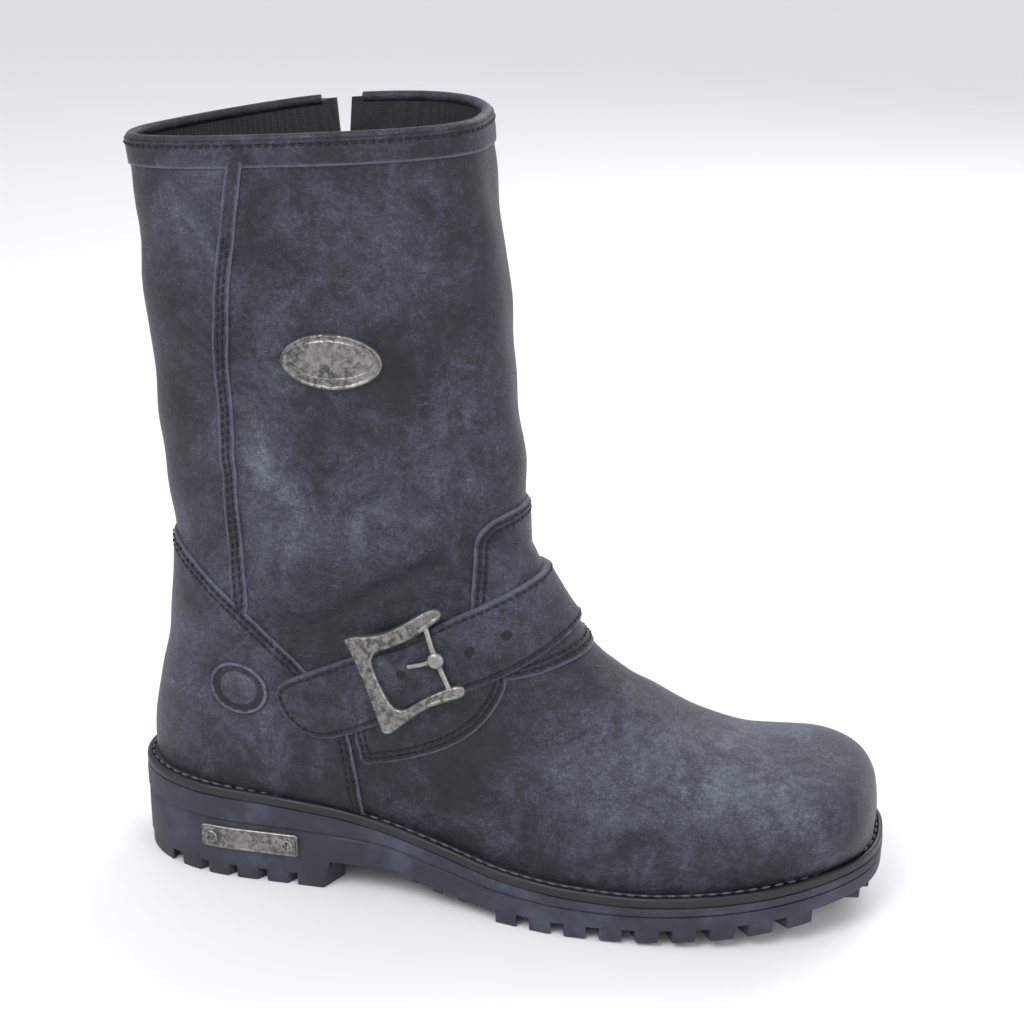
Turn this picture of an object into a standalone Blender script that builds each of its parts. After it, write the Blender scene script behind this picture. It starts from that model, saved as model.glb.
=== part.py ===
"""Engineer boot, right foot: a pull-on leather boot with a buckled instep strap, an inner side zip
and a lugged rubber sole.

Frame: +X to the toe, +Y to the inner (medial) side, +Z up, and the floor at Z = 0.
"""

import math

import bmesh
import bpy
import numpy as np
from mathutils import Vector
from mathutils.bvhtree import BVHTree

MM = 0.001

# Driving sizes
LENGTH = 328 * MM  # outsole, heel to toe
BALL_WIDTH = 113 * MM  # outsole, across the ball
BOOT_HEIGHT = 328 * MM  # floor to the front of the collar
TOE_HEIGHT = 71.5 * MM  # floor to the top of the toe box
COLLAR_RISE = 5 * MM  # how much higher the collar is on the inner side
HEEL_HEIGHT = 40 * MM  # floor to the sole's top at the heel
BALL_HEIGHT = 18 * MM  # floor to the sole's top at the ball
TOE_SPRING = 13 * MM  # how far the tread lifts at the toe tip
LUG_HEIGHT = 5.5 * MM
WALL = 2.6 * MM  # leather and lining
OVERLAY = 1.8 * MM  # thickness of a leather overlay
GAP = 0.3 * MM  # clearance between pieces that meet
WELT_THICKNESS = 4.5 * MM
INSOLE_THICKNESS = 4 * MM

# Side shapes are points (x, z) in millimetres, drawn on a boot with the sizes above. They follow
# the real length, and the height over the heel.
SIDE_X = LENGTH / 328
SIDE_Z = (BOOT_HEIGHT - HEEL_HEIGHT) / (328 - 40)


def side_z(z):
    """The real height of a point of a side shape."""
    return HEEL_HEIGHT + (z - 40) * SIDE_Z


def smooth(x, xs, ys):
    """A smooth curve through the points (xs, ys) that keeps their rises and falls."""
    xs, ys = np.asarray(xs, float), np.asarray(ys, float)
    h = np.diff(xs)
    slope = np.diff(ys) / h
    m = np.zeros_like(ys)
    same = slope[:-1] * slope[1:] > 0
    w1, w2 = 2 * h[1:] + h[:-1], h[1:] + 2 * h[:-1]
    safe = np.where(same, slope[:-1], 1), np.where(same, slope[1:], 1)
    m[1:-1] = np.where(same, (w1 + w2) / (w1 / safe[0] + w2 / safe[1]), 0)
    m[0], m[-1] = slope[0], slope[-1]
    x = np.clip(np.asarray(x, float), xs[0], xs[-1])
    i = np.clip(np.searchsorted(xs, x, side="right") - 1, 0, len(h) - 1)
    t = (x - xs[i]) / h[i]
    return (
        ys[i] * (1 + 2 * t) * (1 - t) ** 2
        + ys[i + 1] * t * t * (3 - 2 * t)
        + h[i] * (m[i] * t * (1 - t) ** 2 + m[i + 1] * t * t * (t - 1))
    )


# Plan of the sole: share of the length from the heel, then half widths as shares of the ball width
PLAN = (
    # along, lateral, medial
    (0.00, 0.345, 0.365),
    (0.15, 0.360, 0.370),
    (0.27, 0.362, 0.370),
    (0.36, 0.362, 0.365),
    (0.45, 0.400, 0.395),
    (0.53, 0.455, 0.440),
    (0.62, 0.495, 0.485),
    (0.70, 0.500, 0.500),
    (0.80, 0.490, 0.510),
    (1.00, 0.430, 0.530),
)
HEEL_ROUND, HEEL_POWER = 0.17, 2.25
TOE_ROUND, TOE_POWER = 0.31, 2.5


def plan_halves(along, inset):
    """Half widths to the lateral and the medial side at a share of the length, inset from the edge."""
    along = np.asarray(along, float)
    heel = np.clip(1 - along / HEEL_ROUND, 0, 1)
    toe = np.clip((along - 1 + TOE_ROUND) / TOE_ROUND, 0, 1)
    ends = (1 - heel**HEEL_POWER) ** (1 / HEEL_POWER) * (1 - toe**TOE_POWER) ** (1 / TOE_POWER)
    stations = [row[0] for row in PLAN]
    lateral = smooth(along, stations, [row[1] * BALL_WIDTH for row in PLAN]) - inset
    medial = smooth(along, stations, [row[2] * BALL_WIDTH for row in PLAN]) - inset
    return lateral * ends, medial * ends


def plan_x(along, inset):
    return -LENGTH / 2 + inset + np.asarray(along, float) * (LENGTH - 2 * inset)


def toe_swing(along):
    """The toe end bends to the medial side."""
    return 0.050 * BALL_WIDTH * np.clip((np.asarray(along, float) - 0.6) / 0.4, 0, 1) ** 2


def sole_top(x):
    """Height of the sole's upper face, on which upper, welt and insole stand."""
    share = np.asarray(x, float) / LENGTH + 0.5
    toe = BALL_HEIGHT + 0.87 * TOE_SPRING
    drop = HEEL_HEIGHT - BALL_HEIGHT
    stations = (0, 0.15, 0.29, 0.42, 0.55, 0.68, 0.85, 1)
    heights = (
        HEEL_HEIGHT,
        HEEL_HEIGHT - 0.06 * drop,
        HEEL_HEIGHT - 0.20 * drop,
        HEEL_HEIGHT - 0.58 * drop,
        HEEL_HEIGHT - 0.92 * drop,
        BALL_HEIGHT,
        BALL_HEIGHT + 0.35 * (toe - BALL_HEIGHT),
        toe,
    )
    return smooth(share, stations, heights)


# The upper's sections. Each lies in a plane through its front point and its back point.
# Toe: the back point is on the sole, at a share of the sole's length from the heel.
TOE_SECTIONS = (
    # front_x / LENGTH, front_z / TOE_HEIGHT, back_along, swell, widest, round
    (0.4860, 0.480, 1.000, 1.00, 0.45, 2.2),
    (0.4900, 0.570, 0.978, 1.02, 0.45, 2.3),
    (0.4870, 0.710, 0.945, 1.04, 0.42, 2.4),
    (0.4730, 0.850, 0.905, 1.04, 0.38, 2.5),
    (0.4440, 0.950, 0.855, 1.03, 0.36, 2.5),
    (0.4000, 0.998, 0.800, 1.03, 0.34, 2.4),
    (0.3350, 1.000, 0.730, 1.03, 0.30, 2.3),
    (0.2620, 1.085, 0.655, 1.03, 0.28, 2.2),
    (0.1950, 1.250, 0.580, 1.03, 0.28, 2.1),
)
# Foot and shaft: half widths are the least of the whole foot; free says how far they hold
# over the sole's own width. From the heel row on the back point climbs up the back of the boot.
LEG_SECTIONS = (
    # front_x / LENGTH, front_z / BOOT_HEIGHT, back_along or back_x / LENGTH, back_z / BOOT_HEIGHT,
    # free, lateral, medial / BALL_WIDTH, widest, round, round_back_lateral, round_back_medial
    (0.1400, 0.308, 0.500, None, 0.2, 0.400, 0.400, 0.28, 2.05, 2.0, 2.0),
    (0.1010, 0.347, 0.420, None, 0.5, 0.400, 0.395, 0.30, 2.00, 2.0, 2.0),
    (0.0710, 0.384, 0.335, None, 0.8, 0.390, 0.385, 0.33, 2.00, 2.0, 2.0),
    (0.0490, 0.424, 0.245, None, 1.0, 0.372, 0.368, 0.38, 2.00, 2.0, 2.0),
    (0.0370, 0.459, 0.150, None, 1.0, 0.352, 0.350, 0.42, 2.10, 2.0, 2.0),
    (0.0310, 0.494, 0.060, None, 1.0, 0.336, 0.338, 0.45, 2.20, 2.1, 2.1),
    (0.0285, 0.531, 0.000, None, 1.0, 0.326, 0.334, 0.47, 2.25, 2.2, 2.2),
    (0.0260, 0.570, -0.4800, 0.185, 1.0, 0.318, 0.336, 0.48, 2.30, 2.2, 2.1),
    (0.0215, 0.613, -0.4680, 0.250, 1.0, 0.312, 0.342, 0.49, 2.35, 2.2, 2.0),
    (0.0168, 0.662, -0.4510, 0.323, 1.0, 0.306, 0.352, 0.50, 2.40, 2.3, 1.95),
    (0.0122, 0.713, -0.4410, 0.409, 1.0, 0.300, 0.366, 0.50, 2.45, 2.3, 1.9),
    (0.0070, 0.771, -0.4440, 0.506, 1.0, 0.296, 0.384, 0.50, 2.50, 2.4, 1.8),
    (-0.0010, 0.838, -0.4530, 0.625, 1.0, 0.292, 0.405, 0.50, 2.60, 2.5, 1.7),
    (-0.0110, 0.915, -0.4605, 0.777, 1.0, 0.288, 0.427, 0.50, 2.70, 2.6, 1.6),
    (-0.0230, 1.000, -0.4700, 0.970, 1.0, 0.285, 0.448, 0.50, 2.80, 2.7, 1.55),
)
HEEL_ROW = len(TOE_SECTIONS) + 6
SPLITS = (2, 2, 2, 1, 1, 2, 2, 2, 2, 2, 2, 2, 2, 2, 2, 2, 1, 1, 1, 1, 1, 1, 2)
COLUMNS = 26
UPPER_INSET = 5.2 * MM  # the upper's foot stands this far inside the sole's edge
SAMPLES = 60


def collar_rise(points):
    """The inner side's collar stands a little higher, most at the zip."""
    near_top = np.clip((points[:, 2] / BOOT_HEIGHT - 0.8) / 0.2, 0, 1)
    inner = np.clip(points[:, 1] / (0.448 * BALL_WIDTH), 0, 1)
    return COLLAR_RISE * near_top**2 * inner**2


def ratio_free(foot):
    """True where the section has no foot on the sole, so its back end is round."""
    return foot < 1e-9


def section_table():
    """Front x, front z, back along, back x, back z, width and shape of every section, in metres."""
    rows = []
    for fx, fz, along, swell, widest, power in TOE_SECTIONS:
        front = (fx * LENGTH, fz * TOE_HEIGHT)
        rows.append(front + (along, None, None, 0.0, swell, 0.0, 0.0, widest, power, 2, 2))
    for fx, fz, back, bz, free, lat, med, widest, power, b_lat, b_med in LEG_SECTIONS:
        front = (fx * LENGTH, fz * BOOT_HEIGHT)
        own = (free, 1.03, lat * BALL_WIDTH, med * BALL_WIDTH, widest, power, b_lat, b_med)
        if bz is None:
            rows.append(front + (back, None, None) + own)
        else:
            rows.append(front + (0.0, back * LENGTH, bz * BOOT_HEIGHT) + own)
    return rows


def upper_grid(inside):
    """The upper's surface as rows of points, drawn in by a distance. The first and the last
    point of a row are its back ends, and the middle point is its front."""
    rows = section_table()
    stations = np.arange(len(rows), dtype=float)
    steps = [i + k / n for i, n in enumerate(SPLITS) for k in range(n)]
    steps = np.array(steps + [float(len(rows) - 1)])

    def column(index):
        return smooth(steps, stations, [row[index] for row in rows])

    front_x, front_z = column(0), column(1)
    along = np.clip(column(2), 0, 1)
    heel_x = plan_x(0.0, UPPER_INSET)
    heel_z = float(sole_top(heel_x)) + GAP
    back_rows = range(HEEL_ROW, len(rows))
    known = [heel_x] + [rows[k][3] for k in back_rows if rows[k][3] is not None]
    climb = [heel_z] + [rows[k][4] for k in back_rows if rows[k][4] is not None]
    marks = [HEEL_ROW] + [k for k in back_rows if rows[k][3] is not None]
    run = np.stack([front_x, front_z], 1)
    tangent = np.gradient(run, axis=0)
    tangent /= np.linalg.norm(tangent, axis=1)[:, None]
    normal = np.stack([-tangent[:, 1], tangent[:, 0]], 1)
    normal *= np.where(normal[:, :1] + normal[:, 1:] < 0, -1, 1)
    normal[0] = (1, 0)
    grid = []
    for k, step in enumerate(steps):
        front = run[k] - inside * normal[k]
        if step <= HEEL_ROW:
            x_b = float(plan_x(along[k], UPPER_INSET + inside))
            back = np.array([x_b, float(sole_top(plan_x(along[k], UPPER_INSET))) + GAP])
            foot = [float(w) for w in plan_halves(along[k], UPPER_INSET + inside)]
        else:
            back = np.array([float(smooth(step, marks, known)) + inside, float(smooth(step, marks, climb))])
            foot = [0.0, 0.0]
        if k == 0:
            front = back + np.array([0.0, 2.5 * MM])
        free, swell = float(column(5)[k]), float(column(6)[k])
        widest, power = float(column(9)[k]), float(column(10)[k])
        swing = float(toe_swing(along[k])) if step <= HEEL_ROW else 0.0
        halves = []
        for side in (0, 1):
            own = max(float(column(7 + side)[k]) - inside, 0)
            wide = free * own + (1 - free) * swell * foot[side]
            b_power = float(column(11 + side)[k])
            turn = np.linspace(0, 1, SAMPLES)
            rise = widest * np.sin(0.5 * math.pi * turn) ** 2 if ratio_free(foot[side]) else widest * turn
            bend = widest + (1 - widest) * np.sin(0.5 * math.pi * turn)
            eta = np.concatenate([rise, bend[1:]])
            low = np.clip((widest - eta) / widest, 0, 1)
            high = np.clip((eta - widest) / (1 - widest), 0, 1)
            ratio = min(foot[side] / wide, 1.4) if wide > 1e-9 else 0.0
            shape = (1 - (1 - ratio**b_power) * low**b_power) ** (1 / b_power)
            shape *= (1 - high**power) ** (1 / power)
            y = wide * shape * (-1 if side == 0 else 1) + swing
            p = back[None] + eta[:, None] * (front - back)[None]
            line = np.stack([p[:, 0], y, p[:, 1]], 1)
            line[:, 2] += collar_rise(line)
            gaps = np.linalg.norm(np.diff(line, axis=0), axis=1)
            length = np.concatenate([[0], np.cumsum(gaps)])
            wanted = np.linspace(0, length[-1], COLUMNS // 2 + 1)
            halves.append(np.stack([np.interp(wanted, length, line[:, c]) for c in range(3)], 1))
        grid.append(np.vstack([halves[0], halves[1][::-1][1:]]))
    return np.array(grid)


def grid_normals(grid):
    """Outward normals of the points of a section grid."""
    normals = np.zeros_like(grid)
    a, b, c, d = grid[:-1, :-1], grid[:-1, 1:], grid[1:, 1:], grid[1:, :-1]
    face = np.cross(c - a, d - b)
    for part in (normals[:-1, :-1], normals[:-1, 1:], normals[1:, 1:], normals[1:, :-1]):
        part += face
    first = sum(SPLITS[:HEEL_ROW])
    both = normals[first:, 0] + normals[first:, -1]
    normals[first:, 0] = both
    normals[first:, -1] = both
    size = np.linalg.norm(normals, axis=2)[:, :, None]
    normals = normals / np.where(size > 0, size, 1)
    # at the foot the leather stands square on the sole
    for k in range(first + 1):
        for j in (0, -1):
            flat = normals[k, j] * (1, 1, 0)
            normals[k, j] = flat / max(np.linalg.norm(flat), 1e-9)
    return normals


# Helpers that make bodies
def new_object(name, mesh):
    obj = bpy.data.objects.new(name, mesh)
    bpy.context.collection.objects.link(obj)
    return obj


def finish_mesh(bm, name):
    bmesh.ops.remove_doubles(bm, verts=bm.verts, dist=0.00002)
    bmesh.ops.dissolve_degenerate(bm, edges=bm.edges, dist=0.00001)
    bmesh.ops.recalc_face_normals(bm, faces=bm.faces)
    mesh = bpy.data.meshes.new(name)
    bm.to_mesh(mesh)
    bm.free()
    return mesh


def skin(name, outer, inner):
    """A closed body between two section grids."""
    bm = bmesh.new()
    rows, columns = outer.shape[:2]
    out = [[bm.verts.new(p) for p in row] for row in outer.tolist()]
    ins = [[bm.verts.new(p) for p in row] for row in inner.tolist()]
    for k in range(rows - 1):
        for j in range(columns - 1):
            bm.faces.new((out[k][j], out[k][j + 1], out[k + 1][j + 1], out[k + 1][j]))
            bm.faces.new((ins[k][j], ins[k + 1][j], ins[k + 1][j + 1], ins[k][j + 1]))
    for k in range(sum(SPLITS[:HEEL_ROW])):
        bm.faces.new((out[k][0], out[k + 1][0], ins[k + 1][0], ins[k][0]))
        bm.faces.new((out[k][-1], ins[k][-1], ins[k + 1][-1], out[k + 1][-1]))
    for j in range(columns - 1):
        bm.faces.new((out[-1][j], out[-1][j + 1], ins[-1][j + 1], ins[-1][j]))
    bmesh.ops.triangulate(bm, faces=bm.faces)
    return new_object(name, finish_mesh(bm, name))


def loft(name, rings):
    """A closed body through rings of equal count, each a closed loop."""
    bm = bmesh.new()
    verts = [[bm.verts.new(p) for p in ring] for ring in rings]
    count = len(rings[0])
    for a, b in zip(verts[:-1], verts[1:]):
        for j in range(count):
            bm.faces.new((a[j], a[(j + 1) % count], b[(j + 1) % count], b[j]))
    bm.faces.new(verts[0][::-1])
    bm.faces.new(verts[-1])
    return new_object(name, finish_mesh(bm, name))


def side_prism(name, points, y0, y1):
    """A prism over points (x, z) of a side shape, from y0 to y1 in metres."""
    rings = [[(x * SIDE_X, y, side_z(z)) for x, z in points] for y in (y0, y1)]
    return loft(name, rings)


def combine(obj, cutter, operation):
    """Joins, cuts or intersects, and leaves a plain mesh on the first body."""
    mod = obj.modifiers.new("cut", "BOOLEAN")
    mod.operation = operation
    mod.solver = "EXACT"
    mod.use_hole_tolerant = True
    mod.object = cutter
    graph = bpy.context.evaluated_depsgraph_get()
    mesh = bpy.data.meshes.new_from_object(obj.evaluated_get(graph))
    obj.modifiers.clear()
    obj.data = mesh
    bpy.data.objects.remove(cutter)
    bm = bmesh.new()
    bm.from_mesh(mesh)
    bmesh.ops.remove_doubles(bm, verts=bm.verts, dist=0.00005)
    bmesh.ops.dissolve_degenerate(bm, edges=bm.edges, dist=0.00003)
    bm.to_mesh(mesh)
    bm.free()
    return obj


def paint(obj, name, color, metallic, roughness):
    mat = bpy.data.materials.new(name)
    mat.use_nodes = True
    shader = mat.node_tree.nodes["Principled BSDF"]
    shader.inputs["Base Color"].default_value = (*color, 1)
    shader.inputs["Metallic"].default_value = metallic
    shader.inputs["Roughness"].default_value = roughness
    obj.data.materials.clear()
    obj.data.materials.append(mat)


for old in list(bpy.data.objects):
    bpy.data.objects.remove(old, do_unlink=True)

LEATHER = (0.055, 0.065, 0.090)
RUBBER = (0.045, 0.052, 0.075)
METAL = (0.30, 0.29, 0.28)

OUTER = upper_grid(0.0)
NORMALS = grid_normals(OUTER)


def layer(name, low, high):
    """A shell between two distances over the upper's outer face."""
    return skin(name, OUTER + high * NORMALS, OUTER + low * NORMALS)


# The zip, in the side shapes' millimetres
ZIP_TOP_X, ZIP_TOP_Z = -80, 328
ZIP_LOW_X, ZIP_LOW_Z = -76, 112
ZIP_SLOT_TOP, ZIP_SLOT_LOW = 8.0, 4.6  # half widths of the slot
SLIDER_Z = 292


def zip_x(z):
    """The zip's middle line."""
    return ZIP_LOW_X + (ZIP_TOP_X - ZIP_LOW_X) * (z - ZIP_LOW_Z) / (ZIP_TOP_Z - ZIP_LOW_Z)


def slot_half(z):
    opens = SLIDER_Z - 12
    return ZIP_SLOT_LOW + (ZIP_SLOT_TOP - ZIP_SLOT_LOW) * max(z - opens, 0) / (ZIP_TOP_Z - opens)


def slot_shape(grow, low):
    """The zip slot's outline grown by a distance, from low to above the collar."""
    heights = (low, SLIDER_Z - 12, 345)
    left = [(zip_x(z) - slot_half(z) - grow, z) for z in heights]
    return left + [(zip_x(z) + slot_half(z) + grow, z) for z in heights[::-1]]


GAP_MM = GAP / MM

# Upper
upper = skin("upper", OUTER, upper_grid(WALL))
combine(upper, side_prism("slot", slot_shape(0, ZIP_LOW_Z), 0.01, 0.09), "DIFFERENCE")
paint(upper, "leather_upper", LEATHER, 0, 0.45)

# Heel counter
COUNTER = ((-210, 47), (-120, 46), (-85, 43.5), (-52, 38.5), (-54, 60), (-57, 79), (-66, 92), (-79, 105),
           (-98, 120), (-118, 134), (-134, 145), (-150, 154), (-210, 160))
heel_counter = layer("heel_counter", GAP, GAP + OVERLAY)
combine(heel_counter, side_prism("side", COUNTER, -0.09, 0.09), "INTERSECT")
combine(heel_counter, side_prism("slot", slot_shape(10.6, 90), 0.01, 0.09), "DIFFERENCE")
paint(heel_counter, "leather_counter", LEATHER, 0, 0.45)

# Instep panel
INSTEP = ((-7, 112), (-7, 160), (-4, 167), (2, 171), (40, 174), (60, 150), (52, 120), (34, 108), (14, 104))
instep_panel = layer("instep_panel", GAP, GAP + OVERLAY)
combine(instep_panel, side_prism("side", INSTEP, -0.09, 0.09), "INTERSECT")
paint(instep_panel, "leather_instep", LEATHER, 0, 0.45)

# Buckle patch under the strap, on the lateral side
PATCH = ((-50, 64), (-36, 67), (-15, 74), (-3, 82), (5, 91), (10, 103), (-8.5, 111), (-40, 101), (-55, 86))
buckle_patch = layer("buckle_patch", GAP, GAP + OVERLAY)
combine(buckle_patch, side_prism("side", PATCH, -0.09, -0.01), "INTERSECT")
paint(buckle_patch, "leather_patch", LEATHER, 0, 0.45)

# Seam cover down the shaft's lateral side
SEAM = ((-98, 340), (-91, 340), (-99, 293), (-105, 261), (-106, 212), (-104, 150), (-101.5, 127),
        (-109, 131.5), (-111, 150), (-113, 212), (-112, 261), (-106, 293))
shaft_seam = layer("shaft_seam", GAP, GAP + OVERLAY)
combine(shaft_seam, side_prism("side", SEAM, -0.09, -0.01), "INTERSECT")
combine(shaft_seam, side_prism("band", ((-220, 300), (80, 322.5), (80, 380), (-220, 380)), -0.09, 0.09),
        "DIFFERENCE")
paint(shaft_seam, "leather_seam", LEATHER, 0, 0.45)

# Collar binding, open at the zip
COLLAR = ((-220, 304.0), (80, 324.0), (80, 400), (-220, 400))
collar_binding = layer("collar_binding", GAP, GAP + OVERLAY)
combine(collar_binding, side_prism("side", COLLAR, -0.09, 0.09), "INTERSECT")
combine(collar_binding, side_prism("slot", slot_shape(10.6, 90), 0.01, 0.09), "DIFFERENCE")
paint(collar_binding, "leather_binding", LEATHER, 0, 0.45)

# Facing round the zip
zip_facing = layer("zip_facing", GAP, GAP + OVERLAY)
combine(zip_facing, side_prism("side", slot_shape(10, ZIP_LOW_Z - 9), 0.01, 0.09), "INTERSECT")
combine(zip_facing, side_prism("slot", slot_shape(0.8, ZIP_LOW_Z - 0.8), 0.01, 0.09), "DIFFERENCE")
paint(zip_facing, "leather_facing", LEATHER, 0, 0.45)

# Zip tapes with their teeth, together below the slider and apart above it
for name, side in (("zip_tape_back", -1), ("zip_tape_front", 1)):
    tape = layer(name, -2.2 * MM, -0.3 * MM)
    heights = (ZIP_LOW_Z + 0.4, SLIDER_Z - 12, SLIDER_Z, 345)
    outer = [(zip_x(z) + side * (slot_half(z) - GAP_MM), z) for z in heights]
    open_half = (0.15, 0.15, 0.6, 5.0)
    inner = [(zip_x(z) + side * w, z) for z, w in zip(heights, open_half)]
    combine(tape, side_prism("side", outer + inner[::-1], 0.01, 0.09), "INTERSECT")
    paint(tape, name, (0.02, 0.02, 0.025), 0, 0.8)

# Strap over the instep and through the buckle
STRAP = ((70, 158), (19, 143), (2, 137), (-27, 123), (-60, 108.5), (-80, 100), (-87, 96), (-89.5, 91),
         (-86, 82), (-79, 76), (-72, 73.5), (-64, 74), (-50, 79.5), (-15, 97.5), (14, 107.5), (34, 119),
         (70, 136))
STRAP_LOW = OVERLAY + 2 * GAP
STRAP_THICKNESS = 2.2 * MM
strap = layer("strap", STRAP_LOW, STRAP_LOW + STRAP_THICKNESS)
combine(strap, side_prism("side", STRAP, -0.09, 0.09), "INTERSECT")
combine(strap, side_prism("end", ((-57, 60), (-57, 130), (-140, 130), (-140, 60)), 0, 0.09), "DIFFERENCE")
paint(strap, "leather_strap", LEATHER, 0, 0.42)

# Buckle frame, its rod and the rod's stud
BUCKLE = ((-57, 119), (-54, 121.5), (-40, 124.5), (-22, 134), (-18.5, 129.5), (-24.5, 125), (-47, 113),
          (-33.5, 90), (-12.5, 103), (-7.5, 103), (-7, 99), (-22, 93.5), (-34, 84), (-39, 81.5), (-46.5, 96))
ROD = ((-25.3, 123.8), (-22.2, 125.6), (-12.4, 103.9), (-15.3, 102.0))
STUD_X, STUD_Z = -18.8, 114
BUCKLE_LOW = STRAP_LOW + STRAP_THICKNESS + GAP
BUCKLE_THICKNESS = 3 * MM
buckle_frame = layer("buckle_frame", BUCKLE_LOW, BUCKLE_LOW + BUCKLE_THICKNESS)
combine(buckle_frame, side_prism("side", BUCKLE, -0.09, -0.01), "INTERSECT")
paint(buckle_frame, "metal_buckle", METAL, 1, 0.38)
buckle_rod = layer("buckle_rod", BUCKLE_LOW, BUCKLE_LOW + BUCKLE_THICKNESS)
combine(buckle_rod, side_prism("side", ROD, -0.09, -0.01), "INTERSECT")
paint(buckle_rod, "metal_rod", METAL, 1, 0.35)
STUD_LOW = BUCKLE_LOW + BUCKLE_THICKNESS + GAP + 0.1 * MM
flat = OUTER.reshape(-1, 3)
lateral = np.where(flat[:, 1] < 0)[0]
stud_x, stud_z = STUD_X * SIDE_X, side_z(STUD_Z)
nearest = lateral[np.argmin(np.hypot(flat[lateral, 0] - stud_x, flat[lateral, 2] - stud_z))]
normal = Vector(NORMALS.reshape(-1, 3)[nearest])
across = normal.cross(Vector((0, 0, 1))).normalized()
upward = across.cross(normal).normalized()
start = Vector(flat[nearest])
along_plane = Vector((stud_x - start.x, 0, stud_z - start.z))
start += along_plane - normal * (along_plane.dot(normal))
rings = []
for rise, radius in ((0, 2.6), (1.0, 3.4), (2.2, 3.0), (2.8, 1.8)):
    centre = start + normal * (STUD_LOW + rise * MM)
    rings.append([centre + (across * math.cos(t) + upward * math.sin(t)) * radius * MM
                  for t in [2 * math.pi * k / 10 for k in range(10)]])
buckle_stud = loft("buckle_stud", rings)
paint(buckle_stud, "metal_stud", METAL, 1, 0.35)

# Oval plaque on the shaft's lateral side
PLAQUE_X, PLAQUE_Z, PLAQUE_HALF_WIDTH, PLAQUE_HALF_HEIGHT = -62, 236, 21, 11.5
turns = [2 * math.pi * k / 20 for k in range(20)]
oval = []
for t in turns:
    oval.append((PLAQUE_X + PLAQUE_HALF_WIDTH * math.cos(t), PLAQUE_Z + PLAQUE_HALF_HEIGHT * math.sin(t)))
badge_plaque = layer("badge_plaque", GAP, GAP + 2 * MM)
combine(badge_plaque, side_prism("side", oval, -0.09, -0.01), "INTERSECT")
paint(badge_plaque, "metal_plaque", METAL, 1, 0.4)

# Zip slider and its pull tab
slider_x = zip_x(SLIDER_Z)
slider = layer("zip_slider", GAP, GAP + 2.8 * MM)
slider_shape = [(slider_x + dx, SLIDER_Z + dz) for dx, dz in
                ((-3.2, -6), (3.2, -6), (4.3, 0), (3.4, 6), (-3.4, 6), (-4.3, 0))]
combine(slider, side_prism("side", slider_shape, 0.01, 0.09), "INTERSECT")
paint(slider, "metal_slider", METAL, 1, 0.4)


def medial_y(x, z):
    """How far the upper stands out on the medial side at a point of the side view."""
    half = OUTER[:, COLUMNS // 2:].reshape(-1, 3)
    return float(half[np.argmin(np.hypot(half[:, 0] - x, half[:, 2] - z)), 1])


PULL_LENGTH, PULL_WIDTH, PULL_THICKNESS = 22 * MM, 9 * MM, 1.2 * MM
PULL_STANDOFF = 3.6 * MM
pull_x = slider_x * SIDE_X
pull_top = side_z(SLIDER_Z - 6.5)
pull_y0 = medial_y(pull_x, pull_top) + PULL_STANDOFF
pull_y1 = medial_y(pull_x, pull_top - PULL_LENGTH) + PULL_STANDOFF


def pull_ring(half, start, end, rise):
    """A rectangle on the pull tab, in shares of its width and length, at a height over its back."""
    ring = []
    for sx, sz in ((-half, start), (half, start), (half, end), (-half, end)):
        y = pull_y0 + (pull_y1 - pull_y0) * sz + rise
        ring.append((pull_x + sx * PULL_WIDTH, y, pull_top - sz * PULL_LENGTH))
    return ring


pull = loft("zip_pull", [pull_ring(0.5, 0, 1, rise) for rise in (0, PULL_THICKNESS)])
hole = loft("hole", [pull_ring(0.22, 0.12, 0.62, rise) for rise in (-2 * MM, 4 * MM)])
combine(pull, hole, "DIFFERENCE")
paint(pull, "metal_pull", METAL, 1, 0.4)

# Outsole
BREAST_X = -0.212  # heel breast, as a share of the length
ARCH_HEIGHT = 13 * MM
FLAT_TO = 0.06  # the tread lies flat as far as this share


def spring(x):
    share = max(x / LENGTH - FLAT_TO, 0) / (0.5 - FLAT_TO)
    return TOE_SPRING * share**2


def tread_base(x):
    share = x / LENGTH
    if share <= BREAST_X:
        return LUG_HEIGHT
    heights = (ARCH_HEIGHT, ARCH_HEIGHT, 0.6 * ARCH_HEIGHT, LUG_HEIGHT)
    return float(smooth(share, (BREAST_X, -0.14, -0.05, 0.02), heights)) + spring(x)


breast_along = (BREAST_X * LENGTH + LENGTH / 2) / LENGTH
alongs = [0, 0.004, 0.015, 0.035, 0.065, 0.105, 0.15, 0.20, 0.245, breast_along - 0.0001, breast_along,
          0.315, 0.345, 0.375, 0.405, 0.435, 0.47, 0.505, 0.54, 0.58, 0.62, 0.66, 0.71, 0.76, 0.81, 0.855,
          0.895, 0.93, 0.96, 0.982, 0.995, 1.0]
BREAST_STATION = 10
rings = []
for k, share in enumerate(alongs):
    lat, med = plan_halves(share, 0)
    lat, med = max(float(lat), 0.4 * MM), max(float(med), 0.4 * MM)
    x = float(plan_x(share, 0))
    y = float(toe_swing(share))
    low = LUG_HEIGHT if k < BREAST_STATION else tread_base(x + 1e-6)
    high = float(sole_top(x))
    lip = 1.2 * MM
    right, left = y - lat, y + med
    side = low + 2 * MM
    rings.append([(x, right, high), (x, left, high), (x, left, side),
                  (x, left - lip, low), (x, right + lip, low), (x, right, side)])
outsole = loft("outsole", rings)


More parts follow.
